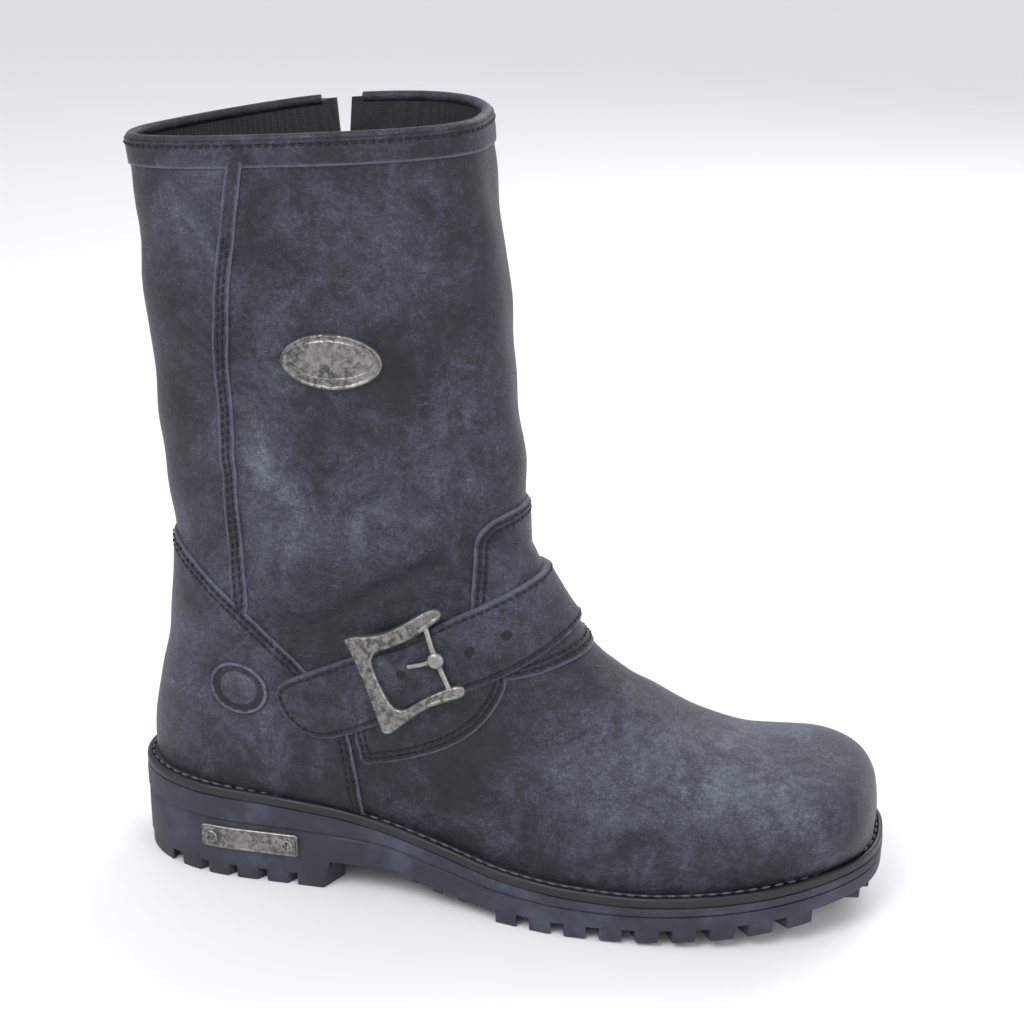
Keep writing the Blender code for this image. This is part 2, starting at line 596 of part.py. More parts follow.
def lug(share_a, share_b, side, start, depth, taper, height=None):
    """A lug between two shares of the length on one side (-1 lateral, 1 medial), in from the edge."""
    corners = []
    end = start + depth
    for share, cut in ((share_a, start), (share_b, start), (share_b, end), (share_a, end)):
        lat, med = plan_halves(share, cut * MM)
        x = float(plan_x(share, cut * MM))
        half = max(float(lat if side < 0 else med), 0)
        corners.append((x, side * half + float(toe_swing(share))))
    middle = (sum(c[0] for c in corners) / 4, sum(c[1] for c in corners) / 4)
    floor = []
    for x, y in corners:
        low = spring(x) if height is None else tread_base(x) - height
        floor.append((middle[0] + (x - middle[0]) * taper, middle[1] + (y - middle[1]) * taper, low))
    root = [(x, y, tread_base(x) + 1.5 * MM) for x, y in corners]
    return loft("lug", [floor, root])


lugs = []
# Heel lugs, five on each side, and the block at the back
for k in range(5):
    a = 0.075 + 0.0425 * k
    for side in (-1, 1):
        lugs.append(lug(a, a + (0.030 if k < 4 else 0.038), side, 0.6, 13.5, 0.97))
back = []
for share in (0.006, 0.02, 0.04, 0.06):
    lat, med = plan_halves(share, 0.6 * MM)
    back.append((float(plan_x(share, 0.6 * MM)), float(lat), float(med)))
floor_ring = [(x, -lat) for x, lat, med in back] + [(x, med) for x, lat, med in back[::-1]]
lugs.append(loft("lug", [[(x, y, z) for x, y in floor_ring] for z in (0, LUG_HEIGHT + 1.5 * MM)]))
# Forefoot lugs in pairs, an outer wedge and a smaller inner block
for k in range(9):
    a = 0.525 + 0.0465 * k
    for side in (-1, 1):
        lugs.append(lug(a, a + 0.030, side, 0.6, 12, 0.97))
        if 0 < k < 8:
            lugs.append(lug(a + 0.008, a + 0.030, side, 15, 8, 0.95))
# Toe lugs
for share_y in (-0.62, -0.3, 0.02, 0.34, 0.66):
    x1 = LENGTH / 2 - (2.0 + 11 * share_y**2) * MM
    y = share_y * 0.25 * BALL_WIDTH + float(toe_swing(1))
    w = 3.4 * MM
    x0, x1 = x1 - 17 * MM, x1 - 1 * MM
    shape = [(x0, y - 0.6 * w), (x1, y - w), (x1, y + w), (x0, y + 0.6 * w)]
    lugs.append(loft("lug", [[(px, py, spring(px)) for px, py in shape],
                             [(px, py, tread_base(px) + 1.5 * MM) for px, py in shape]]))
# Ribs across the waist
for share in (0.40, 0.435, 0.47):
    for side in (-1, 1):
        lugs.append(lug(share, share + 0.012, side, 3, 11, 0.95, 3 * MM))
first = lugs[0]
bm = bmesh.new()
for piece in lugs:
    bm.from_mesh(piece.data)
first.data = finish_mesh(bm, "lugs")
for piece in lugs[1:]:
    bpy.data.objects.remove(piece)
combine(outsole, first, "UNION")
paint(outsole, "rubber_outsole", RUBBER, 0, 0.65)

# Welt: its inner face follows the upper, row by row
WELT_LOW = 1.3 * GAP

rows = section_table()
steps = [i + k / n for i, n in enumerate(SPLITS) for k in range(n) if i < HEEL_ROW] + [float(HEEL_ROW)]
row_along = np.clip(smooth(steps, np.arange(len(rows)), [row[2] for row in rows]), 0, 1)
loops = {"outer": [], "foot": []}
for side in (-1, 1):
    part = {"outer": [], "foot": []}
    for k, share in enumerate(row_along):
        line = OUTER[k] if side < 0 else OUTER[k][::-1]
        line = line[: COLUMNS // 2 + 1]
        halves = plan_halves(share, 0.5 * MM)
        y = float(toe_swing(share)) + side * float(halves[0 if side < 0 else 1])
        part["outer"].append(np.array((float(plan_x(share, 0.5 * MM)), y)))
        part["foot"].append(line[0][:2])
    for key, points in part.items():
        loops[key] += points if side < 0 else points[::-1][1:-1]


def outward_of(loop):
    points = np.array(loop)
    tangent = np.roll(points, -1, axis=0) - np.roll(points, 1, axis=0)
    outward = np.stack([-tangent[:, 1], tangent[:, 0]], 1)
    outward /= np.linalg.norm(outward, axis=1)[:, None]
    return outward if outward[0][0] > 0 else -outward


faces = [tuple(face.vertices) for face in upper.data.polygons]
tree = BVHTree.FromPolygons([vertex.co for vertex in upper.data.vertices], faces)
foot = np.array(loops["foot"])
outward = outward_of(foot)
top = []
for (x, y), (nx, ny) in zip(foot.tolist(), outward.tolist()):
    far = 0.0
    for height in (0.2, 0.5, 0.8, 1.0):
        z = float(sole_top(x)) + height * WELT_THICKNESS
        reach = 15 * MM
        hit = tree.ray_cast(Vector((x + reach * nx, y + reach * ny, z)), Vector((-nx, -ny, 0)), reach)
        if hit[0] is not None:
            far = max(far, reach - hit[3])
    top.append(far)
top = np.array(top)
top = np.maximum(top, 0.5 * (np.roll(top, 1) + np.roll(top, -1)))
low_ring = foot + 1.8 * GAP * outward
high_ring = foot + (2.2 * GAP + top)[:, None] * outward
edge = np.array(loops["outer"])
bm = bmesh.new()
rings = []
section = ((edge, WELT_LOW), (edge, WELT_THICKNESS), (high_ring, WELT_THICKNESS), (low_ring, WELT_LOW))
for loop, rise in section:
    rings.append([bm.verts.new((x, y, float(sole_top(x)) + rise)) for x, y in loop.tolist()])
for r in range(4):
    p, q = rings[r], rings[(r + 1) % 4]
    for j in range(len(p)):
        bm.faces.new((p[j], q[j], q[(j + 1) % len(p)], p[(j + 1) % len(p)]))
bmesh.ops.triangulate(bm, faces=bm.faces)
welt = new_object("welt", finish_mesh(bm, "welt"))
paint(welt, "rubber_welt", (0.02, 0.022, 0.03), 0, 0.55)

# Insole
inset = UPPER_INSET + WALL + 2.4 * MM
rings = []
inner_length = LENGTH - 2 * inset
within = [(float(plan_x(share, 0)) + inner_length / 2) / inner_length for share in alongs]
for share in [0.0005] + [value for value in within if 0.004 < value < 0.996] + [0.9995]:
    lat, med = plan_halves(share, inset)
    x, y = float(plan_x(share, inset)), float(toe_swing(share))
    top = float(sole_top(x))
    right, left = y - float(lat), y + float(med)
    low, high = top + GAP, top + GAP + INSOLE_THICKNESS
    rings.append([(x, right, high), (x, left, high), (x, left, low), (x, right, low)])
insole = loft("insole", rings)
paint(insole, "foam_insole", (0.03, 0.03, 0.035), 0, 0.9)

# Heel plate on the heel's lateral side, with two screws
PLATE_Z0, PLATE_Z1, PLATE_THICKNESS = 15 * MM, 25.5 * MM, 1.5 * MM
rings = []
for share in (0.116, 0.148, 0.182, 0.216, 0.252):
    lat = float(plan_halves(share, 0)[0])
    x = float(plan_x(share, 0))
    y0, y1 = -lat - GAP, -lat - GAP - PLATE_THICKNESS
    rings.append([(x, y0, PLATE_Z0), (x, y0, PLATE_Z1), (x, y1, PLATE_Z1), (x, y1, PLATE_Z0)])
heel_plate = loft("heel_plate", rings)
paint(heel_plate, "metal_plate", METAL, 1, 0.45)
for name, share in (("heel_screw_back", 0.131), ("heel_screw_front", 0.237)):
    lat = float(plan_halves(share, 0)[0])
    x, z = float(plan_x(share, 0)), 0.5 * (PLATE_Z0 + PLATE_Z1)
    y = -lat - 2.5 * GAP - PLATE_THICKNESS
    rings = []
    for rise, radius in ((0, 2.8 * MM), (0.6 * MM, 2.8 * MM), (1.1 * MM, 1.9 * MM)):
        rings.append([(x + radius * math.cos(t), y - rise, z + radius * math.sin(t))
                      for t in [2 * math.pi * k / 12 for k in range(12)]])
    screw = loft(name, rings)
    paint(screw, "metal_" + name, METAL, 1, 0.35)

# Inserts in the tread: three-lobed ones, one oval, dots and bars
ORANGE, GREY = (0.85, 0.10, 0.04), (0.22, 0.24, 0.38)


def insert(name, share_x, share_y, outline, color):
    x0, y0 = share_x * LENGTH, share_y * BALL_WIDTH
    points = [(x0 + dx * MM, y0 + dy * MM) for dx, dy in outline]
    obj = loft(name, [[(x, y, tread_base(x) - 2.2 * MM) for x, y in points],
                      [(x, y, tread_base(x) - GAP) for x, y in points]])
    paint(obj, "rubber_" + name, color, 0, 0.6)


def lobed(size, turn):
    return [(size * (0.78 + 0.22 * math.cos(3 * t)) * math.cos(t + turn),
             size * (0.78 + 0.22 * math.cos(3 * t)) * math.sin(t + turn))
            for t in [2 * math.pi * k / 12 for k in range(12)]]


def round_shape(a, b, count):
    return [(a * math.cos(t), b * math.sin(t)) for t in [2 * math.pi * k / count for k in range(count)]]


LOBES = ((0.322, 0.064), (0.263, -0.112), (0.238, 0.124), (0.178, -0.176), (0.154, 0.071), (0.099, -0.195),
         (0.075, 0.026), (0.019, -0.109), (-0.287, -0.037), (-0.358, -0.030))
for k, (sx, sy) in enumerate(LOBES):
    insert("insert_lobe_%02d" % (k + 1), sx, sy, lobed(8.5 if k < 8 else 7.5, 0.6 * k), ORANGE)
insert("insert_oval", -0.088, -0.041, round_shape(15, 13, 16), ORANGE)
for k, (sx, sy) in enumerate(((-0.037, 0.056), (-0.025, -0.198), (-0.137, 0.146), (-0.119, -0.206))):
    insert("insert_dot_%d" % (k + 1), sx, sy, round_shape(3.6, 3.6, 10), GREY)
BARS = ((-0.335, 0.082, 20, 2.3), (-0.335, -0.166, 20, 2.3), (-0.410, -0.028, 2.5, 7))
for k, (sx, sy, hx, hy) in enumerate(BARS):
    insert("insert_bar_%d" % (k + 1), sx, sy, [(-hx, -hy), (hx, -hy), (hx, hy), (-hx, hy)], GREY)

print("boot built")
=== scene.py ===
import math

import bmesh
import bpy
import numpy as np
from mathutils import Matrix, Vector
from mathutils.bvhtree import BVHTree


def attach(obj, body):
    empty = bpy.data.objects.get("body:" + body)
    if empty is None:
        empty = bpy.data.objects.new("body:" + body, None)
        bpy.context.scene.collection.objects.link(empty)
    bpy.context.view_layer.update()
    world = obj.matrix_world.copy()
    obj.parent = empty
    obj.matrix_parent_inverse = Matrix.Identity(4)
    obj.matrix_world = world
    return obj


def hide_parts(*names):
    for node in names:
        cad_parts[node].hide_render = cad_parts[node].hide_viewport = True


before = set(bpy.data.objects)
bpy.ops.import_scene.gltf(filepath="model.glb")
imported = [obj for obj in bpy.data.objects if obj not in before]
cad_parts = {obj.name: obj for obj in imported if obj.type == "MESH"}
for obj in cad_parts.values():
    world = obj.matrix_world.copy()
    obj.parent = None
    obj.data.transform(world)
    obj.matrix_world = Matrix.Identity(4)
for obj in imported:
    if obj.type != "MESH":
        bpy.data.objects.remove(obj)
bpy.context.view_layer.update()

mm = 0.001
collection = bpy.context.scene.collection

# Form of the boot: +X to the toe, +Y to the inner side, +Z up
bootForm = {
    "length": 328 * mm,  # outsole, heel to toe
    "ballWidth": 113 * mm,  # outsole, across the ball
    "height": 328 * mm,  # floor to the front of the collar
    "toeHeight": 71.5 * mm,  # floor to the top of the toe box
    "collarRise": 5 * mm,  # how much higher the collar is on the inner side
    "heelHeight": 40 * mm,  # floor to the sole's top at the heel
    "ballHeight": 18 * mm,  # floor to the sole's top at the ball
    "toeSpring": 13 * mm,
    "toeSwing": 0.050,  # how far the toe end bends to the inner side, as a share of the ball width
    "swingFrom": 0.6,  # the bend's start, as a share of the length
    "soleDrops": (0, 0.06, 0.20, 0.58, 0.92),  # of the way from the heel's to the ball's height
    "soleRises": (0, 0.35, 1),  # of the way from the ball's to the toe's height
    "soleStations": (0, 0.15, 0.29, 0.42, 0.55, 0.68, 0.85, 1),
    "toeLift": 0.87,  # share of the toe spring by which the sole's top rises
    "upperInset": 5.2 * mm,  # the upper stands this far inside the sole's edge
    "wall": 2.6 * mm,  # leather and lining
    "heelRound": 0.17,  # share of the length that the heel's round takes
    "heelPower": 2.25,
    "toeRound": 0.31,
    "toePower": 2.5,
    # the sole's plan: share of the length from the heel, half widths as shares of the ball width
    "plan": (
        # along, lateral, medial
        (0.00, 0.345, 0.365),
        (0.15, 0.360, 0.370),
        (0.27, 0.362, 0.370),
        (0.36, 0.362, 0.365),
        (0.45, 0.400, 0.395),
        (0.53, 0.455, 0.440),
        (0.62, 0.495, 0.485),
        (0.70, 0.500, 0.500),
        (0.80, 0.490, 0.510),
        (1.00, 0.430, 0.530),
    ),
    # sections at the toe, whose back point is on the sole
    "toeSections": (
        # front x / length, front z / toe height, back along, swell, widest, round
        (0.4860, 0.480, 1.000, 1.00, 0.45, 2.2),
        (0.4900, 0.570, 0.978, 1.02, 0.45, 2.3),
        (0.4870, 0.710, 0.945, 1.04, 0.42, 2.4),
        (0.4730, 0.850, 0.905, 1.04, 0.38, 2.5),
        (0.4440, 0.950, 0.855, 1.03, 0.36, 2.5),
        (0.4000, 0.998, 0.800, 1.03, 0.34, 2.4),
        (0.3350, 1.000, 0.730, 1.03, 0.30, 2.3),
        (0.2620, 1.085, 0.655, 1.03, 0.28, 2.2),
        (0.1950, 1.250, 0.580, 1.03, 0.28, 2.1),
    ),
    # sections of foot and shaft, whose back point climbs the heel from the heel row on
    "legSections": (
        # front x / length, front z / height, back along or x / length, back z / height,
        # own width's part, lateral, medial / ball width, widest, round, back round on each side
        (0.1400, 0.308, 0.500, None, 0.2, 0.400, 0.400, 0.28, 2.05, 2.0, 2.0),
        (0.1010, 0.347, 0.420, None, 0.5, 0.400, 0.395, 0.30, 2.00, 2.0, 2.0),
        (0.0710, 0.384, 0.335, None, 0.8, 0.390, 0.385, 0.33, 2.00, 2.0, 2.0),
        (0.0490, 0.424, 0.245, None, 1.0, 0.372, 0.368, 0.38, 2.00, 2.0, 2.0),
        (0.0370, 0.459, 0.150, None, 1.0, 0.352, 0.350, 0.42, 2.10, 2.0, 2.0),
        (0.0310, 0.494, 0.060, None, 1.0, 0.336, 0.338, 0.45, 2.20, 2.1, 2.1),
        (0.0285, 0.531, 0.000, None, 1.0, 0.326, 0.334, 0.47, 2.25, 2.2, 2.2),
        (0.0260, 0.570, -0.4800, 0.185, 1.0, 0.318, 0.336, 0.48, 2.30, 2.2, 2.1),
        (0.0215, 0.613, -0.4680, 0.250, 1.0, 0.312, 0.342, 0.49, 2.35, 2.2, 2.0),
        (0.0168, 0.662, -0.4510, 0.323, 1.0, 0.306, 0.352, 0.50, 2.40, 2.3, 1.95),
        (0.0122, 0.713, -0.4410, 0.409, 1.0, 0.300, 0.366, 0.50, 2.45, 2.3, 1.9),
        (0.0070, 0.771, -0.4440, 0.506, 1.0, 0.296, 0.384, 0.50, 2.50, 2.4, 1.8),
        (-0.0010, 0.838, -0.4530, 0.625, 1.0, 0.292, 0.405, 0.50, 2.60, 2.5, 1.7),
        (-0.0110, 0.915, -0.4605, 0.777, 1.0, 0.288, 0.427, 0.50, 2.70, 2.6, 1.6),
        (-0.0230, 1.000, -0.4700, 0.970, 1.0, 0.285, 0.448, 0.50, 2.80, 2.7, 1.55),
    ),
    "legSwell": 1.03,
    "heelRow": 15,
    "rowsPerSection": 9,
    "columns": 168,
}
halfLength = bootForm["length"] / 2


def smoothCurve(x, xs, ys):
    xs, ys = np.asarray(xs, float), np.asarray(ys, float)
    h = np.diff(xs)
    slope = np.diff(ys) / h
    m = np.zeros_like(ys)
    same = slope[:-1] * slope[1:] > 0
    w1, w2 = 2 * h[1:] + h[:-1], h[1:] + 2 * h[:-1]
    before, after = np.where(same, slope[:-1], 1), np.where(same, slope[1:], 1)
    m[1:-1] = np.where(same, (w1 + w2) / (w1 / before + w2 / after), 0)
    m[0], m[-1] = slope[0], slope[-1]
    x = np.clip(np.asarray(x, float), xs[0], xs[-1])
    i = np.clip(np.searchsorted(xs, x, side="right") - 1, 0, len(h) - 1)
    t = (x - xs[i]) / h[i]
    return (ys[i] * (1 + 2 * t) * (1 - t) ** 2 + ys[i + 1] * t * t * (3 - 2 * t)
            + h[i] * (m[i] * t * (1 - t) ** 2 + m[i + 1] * t * t * (t - 1)))


def planHalves(along, inset):  # half widths to the lateral and the medial side
    along = np.asarray(along, float)
    heelPower, toePower = bootForm["heelPower"], bootForm["toePower"]
    heel = np.clip(1 - along / bootForm["heelRound"], 0, 1)
    toe = np.clip((along - 1 + bootForm["toeRound"]) / bootForm["toeRound"], 0, 1)
    ends = (1 - heel**heelPower) ** (1 / heelPower) * (1 - toe**toePower) ** (1 / toePower)
    stations = [row[0] for row in bootForm["plan"]]
    sides = [smoothCurve(along, stations, [row[k] * bootForm["ballWidth"] for row in bootForm["plan"]])
             for k in (1, 2)]
    return [(side - inset) * ends for side in sides]


def planX(along, inset):
    return -halfLength + inset + np.asarray(along, float) * 2 * (halfLength - inset)


def toeSwing(along):  # the toe end bends to the inner side
    start = bootForm["swingFrom"]
    share = np.clip((np.asarray(along, float) - start) / (1 - start), 0, 1)
    return bootForm["toeSwing"] * bootForm["ballWidth"] * share**2


def soleTop(x):  # the face that upper, welt and insole stand on
    share = np.asarray(x, float) / bootForm["length"] + 0.5
    heel, ball = bootForm["heelHeight"], bootForm["ballHeight"]
    toe = ball + bootForm["toeLift"] * bootForm["toeSpring"]
    heights = [heel - part * (heel - ball) for part in bootForm["soleDrops"]]
    heights += [ball + part * (toe - ball) for part in bootForm["soleRises"]]
    return smoothCurve(share, bootForm["soleStations"], heights)


def sectionRows():
    rows = []
    size = bootForm
    for fx, fz, along, swell, widest, power in size["toeSections"]:
        rows.append((fx * size["length"], fz * size["toeHeight"], along, None, None, 0, swell, 0, 0,
                     widest, power, 2, 2))
    for fx, fz, back, bz, own, lat, med, *rounds in size["legSections"]:
        shape = (own, size["legSwell"], lat * size["ballWidth"], med * size["ballWidth"], *rounds)
        front = (fx * size["length"], fz * size["height"])
        if bz is None:
            rows.append(front + (back, None, None) + shape)
        else:
            rows.append(front + (0.0, back * size["length"], bz * size["height"]) + shape)
    return rows


def collarRise(y, z):  # the inner side's collar stands a little higher, most at the zip
    nearTop = np.clip((z / bootForm["height"] - 0.8) / 0.2, 0, 1)
    inner = np.clip(y / (0.448 * bootForm["ballWidth"]), 0, 1)
    return bootForm["collarRise"] * nearTop**2 * inner**2


def upperGrid(inside):  # rows of points from the toe to the collar, lateral side to medial side
    rows = sectionRows()
    stations = np.arange(len(rows), dtype=float)
    heelRow = bootForm["heelRow"]
    steps = np.linspace(0, len(rows) - 1, (len(rows) - 1) * bootForm["rowsPerSection"] + 1)
    column = {k: smoothCurve(steps, stations, [row[k] for row in rows]) for k in (0, 1, 2, *range(5, 13))}
    inset = bootForm["upperInset"]
    along = np.clip(column[2], 0, 1)
    heelX = float(planX(0.0, inset))
    climbing = [k for k, row in enumerate(rows) if row[3] is not None]
    marks = [heelRow] + climbing
    backX = smoothCurve(steps, marks, [heelX] + [rows[k][3] for k in climbing])
    backZ = smoothCurve(steps, marks, [float(soleTop(heelX))] + [rows[k][4] for k in climbing])
    run = np.stack([column[0], column[1]], 1)
    tangent = np.gradient(run, axis=0)
    tangent /= np.linalg.norm(tangent, axis=1)[:, None]
    normal = np.stack([-tangent[:, 1], tangent[:, 0]], 1)
    normal *= np.where(normal.sum(1) < 0, -1, 1)[:, None]
    normal[0] = (1, 0)
    half, samples = bootForm["columns"] // 2, 160
    turn = np.linspace(0, 1, samples)
    grid = []
    for k, step in enumerate(steps):
        front = run[k] - inside * normal[k]
        if step <= heelRow:
            footX = planX(along[k], inset)
            back = np.array([float(planX(along[k], inset + inside)), float(soleTop(footX))])
            foot = [float(w) for w in planHalves(along[k], inset + inside)]
            swing = float(toeSwing(along[k]))
        else:
            back = np.array([backX[k] + inside, backZ[k]])
            foot, swing = [0.0, 0.0], 0.0
        if k == 0:
            front = back + np.array([0.0, 2.5 * mm])
        own, widest, power = column[5][k], column[9][k], column[10][k]
        sides = []
        for side in (0, 1):
            wide = own * max(column[7 + side][k] - inside, 0) + (1 - own) * column[6][k] * foot[side]
            backPower = column[11 + side][k]
            rise = widest * np.sin(0.5 * math.pi * turn) ** 2 if foot[side] < 1e-9 else widest * turn
            bend = widest + (1 - widest) * np.sin(0.5 * math.pi * turn)
            eta = np.concatenate([rise, bend[1:]])
            low = np.clip((widest - eta) / widest, 0, 1)
            high = np.clip((eta - widest) / (1 - widest), 0, 1)
            ratio = min(foot[side] / wide, 1.4) if wide > 1e-9 else 0.0
            shape = ((1 - (1 - ratio**backPower) * low**backPower) ** (1 / backPower)
                     * (1 - high**power) ** (1 / power))
            y = wide * shape * (-1, 1)[side] + swing
            p = back[None] + eta[:, None] * (front - back)[None]
            line = np.stack([p[:, 0], y, p[:, 1]], 1)
            line[:, 2] += collarRise(line[:, 1], line[:, 2])
            gaps = np.linalg.norm(np.diff(line, axis=0), axis=1)
            length = np.concatenate([[0], np.cumsum(gaps)])
            wanted = np.linspace(0, length[-1], half + 1)
            sides.append(np.stack([np.interp(wanted, length, line[:, c]) for c in range(3)], 1))
        grid.append(np.vstack([sides[0], sides[1][::-1][1:]]))
    return np.array(grid)


heelIndex = bootForm["heelRow"] * bootForm["rowsPerSection"]


def gridNormals(grid):
    normals = np.zeros_like(grid)
    a, b, c, d = grid[:-1, :-1], grid[:-1, 1:], grid[1:, 1:], grid[1:, :-1]
    face = np.cross(c - a, d - b)
    for corner in (normals[:-1, :-1], normals[:-1, 1:], normals[1:, 1:], normals[1:, :-1]):
        corner += face
    both = normals[heelIndex:, 0] + normals[heelIndex:, -1]
    normals[heelIndex:, 0] = both
    normals[heelIndex:, -1] = both
    size = np.linalg.norm(normals, axis=2)[:, :, None]
    normals = normals / np.where(size > 0, size, 1)
    for j in (0, -1):  # at the foot the leather stands square on the sole
        flat = normals[: heelIndex + 1, j] * (1, 1, 0)
        normals[: heelIndex + 1, j] = flat / np.maximum(np.linalg.norm(flat, axis=1)[:, None], 1e-9)
    return normals


print("form of the upper")
outerGrid = upperGrid(0.0)
innerGrid = upperGrid(bootForm["wall"])
outerNormals = gridNormals(outerGrid)

# Folds of the worn leather, in mm: each a soft trough or ridge along a line seen from the side
folds = (
    # side (-1 lateral, 1 medial, 0 both), start x, z, end x, z, depth (a ridge is positive) and half width
    (0, -20, 160, 14, 150, -1.6, 5.0),
    (0, -14, 170, 9, 164, 0.9, 5.0),
    (-1, -62, 128, -14, 152, -1.5, 5.0),
    (-1, -58, 137, -10, 163, 1.0, 5.5),
    (-1, -96, 122, -52, 118, -1.3, 6.0),
    (-1, -92, 160, -40, 178, -1.3, 7.0),
    (-1, -96, 171, -36, 192, 1.1, 7.0),
    (-1, -70, 203, -16, 214, -0.9, 8.0),
    (-1, -134, 172, -98, 186, -1.3, 6.0),
    (-1, -136, 190, -106, 200, -1.0, 6.5),
    (-1, -90, 300, -40, 292, -0.8, 9.0),
    (-1, -80, 268, -24, 262, -0.7, 9.0),
    (-1, -135, 250, -112, 262, -0.9, 8.0),
    (-1, -8, 96, 34, 84, -1.3, 6.0),
    (-1, 28, 94, 62, 62, -1.2, 7.0),
    (-1, 44, 92, 74, 60, 0.9, 7.0),
    (0, 36, 103, 44, 92, -1.2, 4.5),
    (0, 50, 94, 58, 84, -0.9, 5.0),
    (1, -20, 108, 44, 84, -1.3, 6.0),
    (1, 26, 92, 64, 58, -1.2, 7.0),
    (1, -60, 150, -8, 166, -1.6, 6.0),
    (1, -52, 162, -6, 180, 1.0, 6.0),
    (1, -60, 190, -10, 204, -1.0, 8.0),
    (1, -130, 150, -96, 166, -1.4, 6.5),
    (1, -132, 168, -96, 182, 1.0, 6.5),
    (1, -128, 190, -100, 206, -1.0, 7.0),
    (1, -70, 250, -20, 262, -0.8, 10.0),
)
waves = (
    # wave length along x, y, z in mm, phase, height in mm
    (90, 70, 64, 0.6, 0.55),
    (47, 52, 40, 2.1, 0.30),
    (140, 90, 30, 4.4, 0.22),
)


stillParts = {  # where the leather keeps its shape: height or x in mm, and how far the change runs
    "foot": (60, 60),
    "vamp": (36, 20),
    "collar": (322, -30),
    "toe": (95, -40),
}
foldShape = {
    "bow": 0.06,  # how far a fold's line bends, as a share of its length
    "fade": (0.18, 1.36),  # a fold fades in and out over more than its length
    "taper": 0.8,
    "sideFade": 3.0,  # mm over which a fold ends at the boot's middle
    "inside": 0.8,  # share of the folds that the lining shows
    "vampShare": 0.35,  # share of the folds that the low vamp shows
}


def reached(value, part):  # 0 to 1 over the part's run
    start, run = stillParts[part]
    return np.clip((value - start) / run, 0, 1)


def foldHeight(points):  # how far the leather stands in or out at each point, in metres
    x, y, z = (points[..., k] / mm for k in range(3))
    total = np.zeros(x.shape)
    more, whole = foldShape["fade"]
    for side, x0, z0, x1, z1, depth, reach in folds:
        length = math.hypot(x1 - x0, z1 - z0)
        ux, uz = (x1 - x0) / length, (z1 - z0) / length
        run = np.clip((x - x0) * ux + (z - z0) * uz, 0, length)
        bow = foldShape["bow"] * length * np.sin(math.pi * run / length)
        across = -(x - x0) * uz + (z - z0) * ux - bow
        over = np.maximum(np.abs((x - x0) * ux + (z - z0) * uz - length / 2) - length / 2, 0)
        fade = np.sin(math.pi * np.clip((run + more * length) / (whole * length), 0, 1))
        shape = np.exp(-(across**2 + (foldShape["taper"] * over) ** 2) / (2 * (0.5 * reach) ** 2))
        where = 1.0 if side == 0 else 1 / (1 + np.exp(-side * y / foldShape["sideFade"]))
        total += depth * fade * shape * where
    for lx, ly, lz, phase, height in waves:
        total += height * np.sin(2 * math.pi * (x / lx + y / ly + z / lz) + phase)
    foot, vamp, collar = (reached(z, part) for part in ("foot", "vamp", "collar"))
    return total * np.maximum(foot * collar, foldShape["vampShare"] * vamp * collar) * reached(x, "toe") * mm


outerFolds = foldHeight(outerGrid)
outerFace = outerGrid + outerFolds[..., None] * outerNormals
surface = {
    "outer": outerFace,
    "inner": innerGrid + foldShape["inside"] * outerFolds[..., None] * outerNormals,
    "normals": gridNormals(outerFace),
}


def lifted(height):  # the leather's outer face raised by a height, one number or one for each point
    return surface["outer"] + np.asarray(height)[..., None] * surface["normals"]


# Regions of the leather, as signed distances in mm in the side view: positive inside
gridX, gridY, gridZ = (outerGrid[..., k] / mm for k in range(3))


def rounded(points, times=3):  # cuts the corners of a closed outline
    points = np.array(points, float)
    for _ in range(times):
        after = np.roll(points, -1, axis=0)
        points = np.stack([0.75 * points + 0.25 * after, 0.25 * points + 0.75 * after], 1).reshape(-1, 2)
    return points


def insideOutline(outline, x=None, z=None):
    x = gridX if x is None else x
    z = gridZ if z is None else z
    nearest = np.full(x.shape, 1e9)
    crossings = np.zeros(x.shape, int)
    for (x0, z0), (x1, z1) in zip(outline, np.roll(outline, -1, axis=0)):
        dx, dz = x1 - x0, z1 - z0
        t = np.clip(((x - x0) * dx + (z - z0) * dz) / max(dx * dx + dz * dz, 1e-12), 0, 1)
        nearest = np.minimum(nearest, np.hypot(x - x0 - t * dx, z - z0 - t * dz))
        if z0 != z1:
            hit = (z0 > z) != (z1 > z)
            crossings += hit & (x < x0 + (z - z0) * dx / dz)
    return np.where(crossings % 2 == 1, nearest, -nearest)


def onSide(side):  # far inside on one side of the boot, outside on the other
    return side * gridY * 3


def newObject(name, mesh):
    piece = bpy.data.objects.new(name, mesh)
    collection.objects.link(piece)
    return piece


def smoothShade(piece, angle=None):
    piece.data.polygons.foreach_set("use_smooth", [True] * len(piece.data.polygons))
    if angle:
        piece.data.set_sharp_from_angle(angle=math.radians(angle))


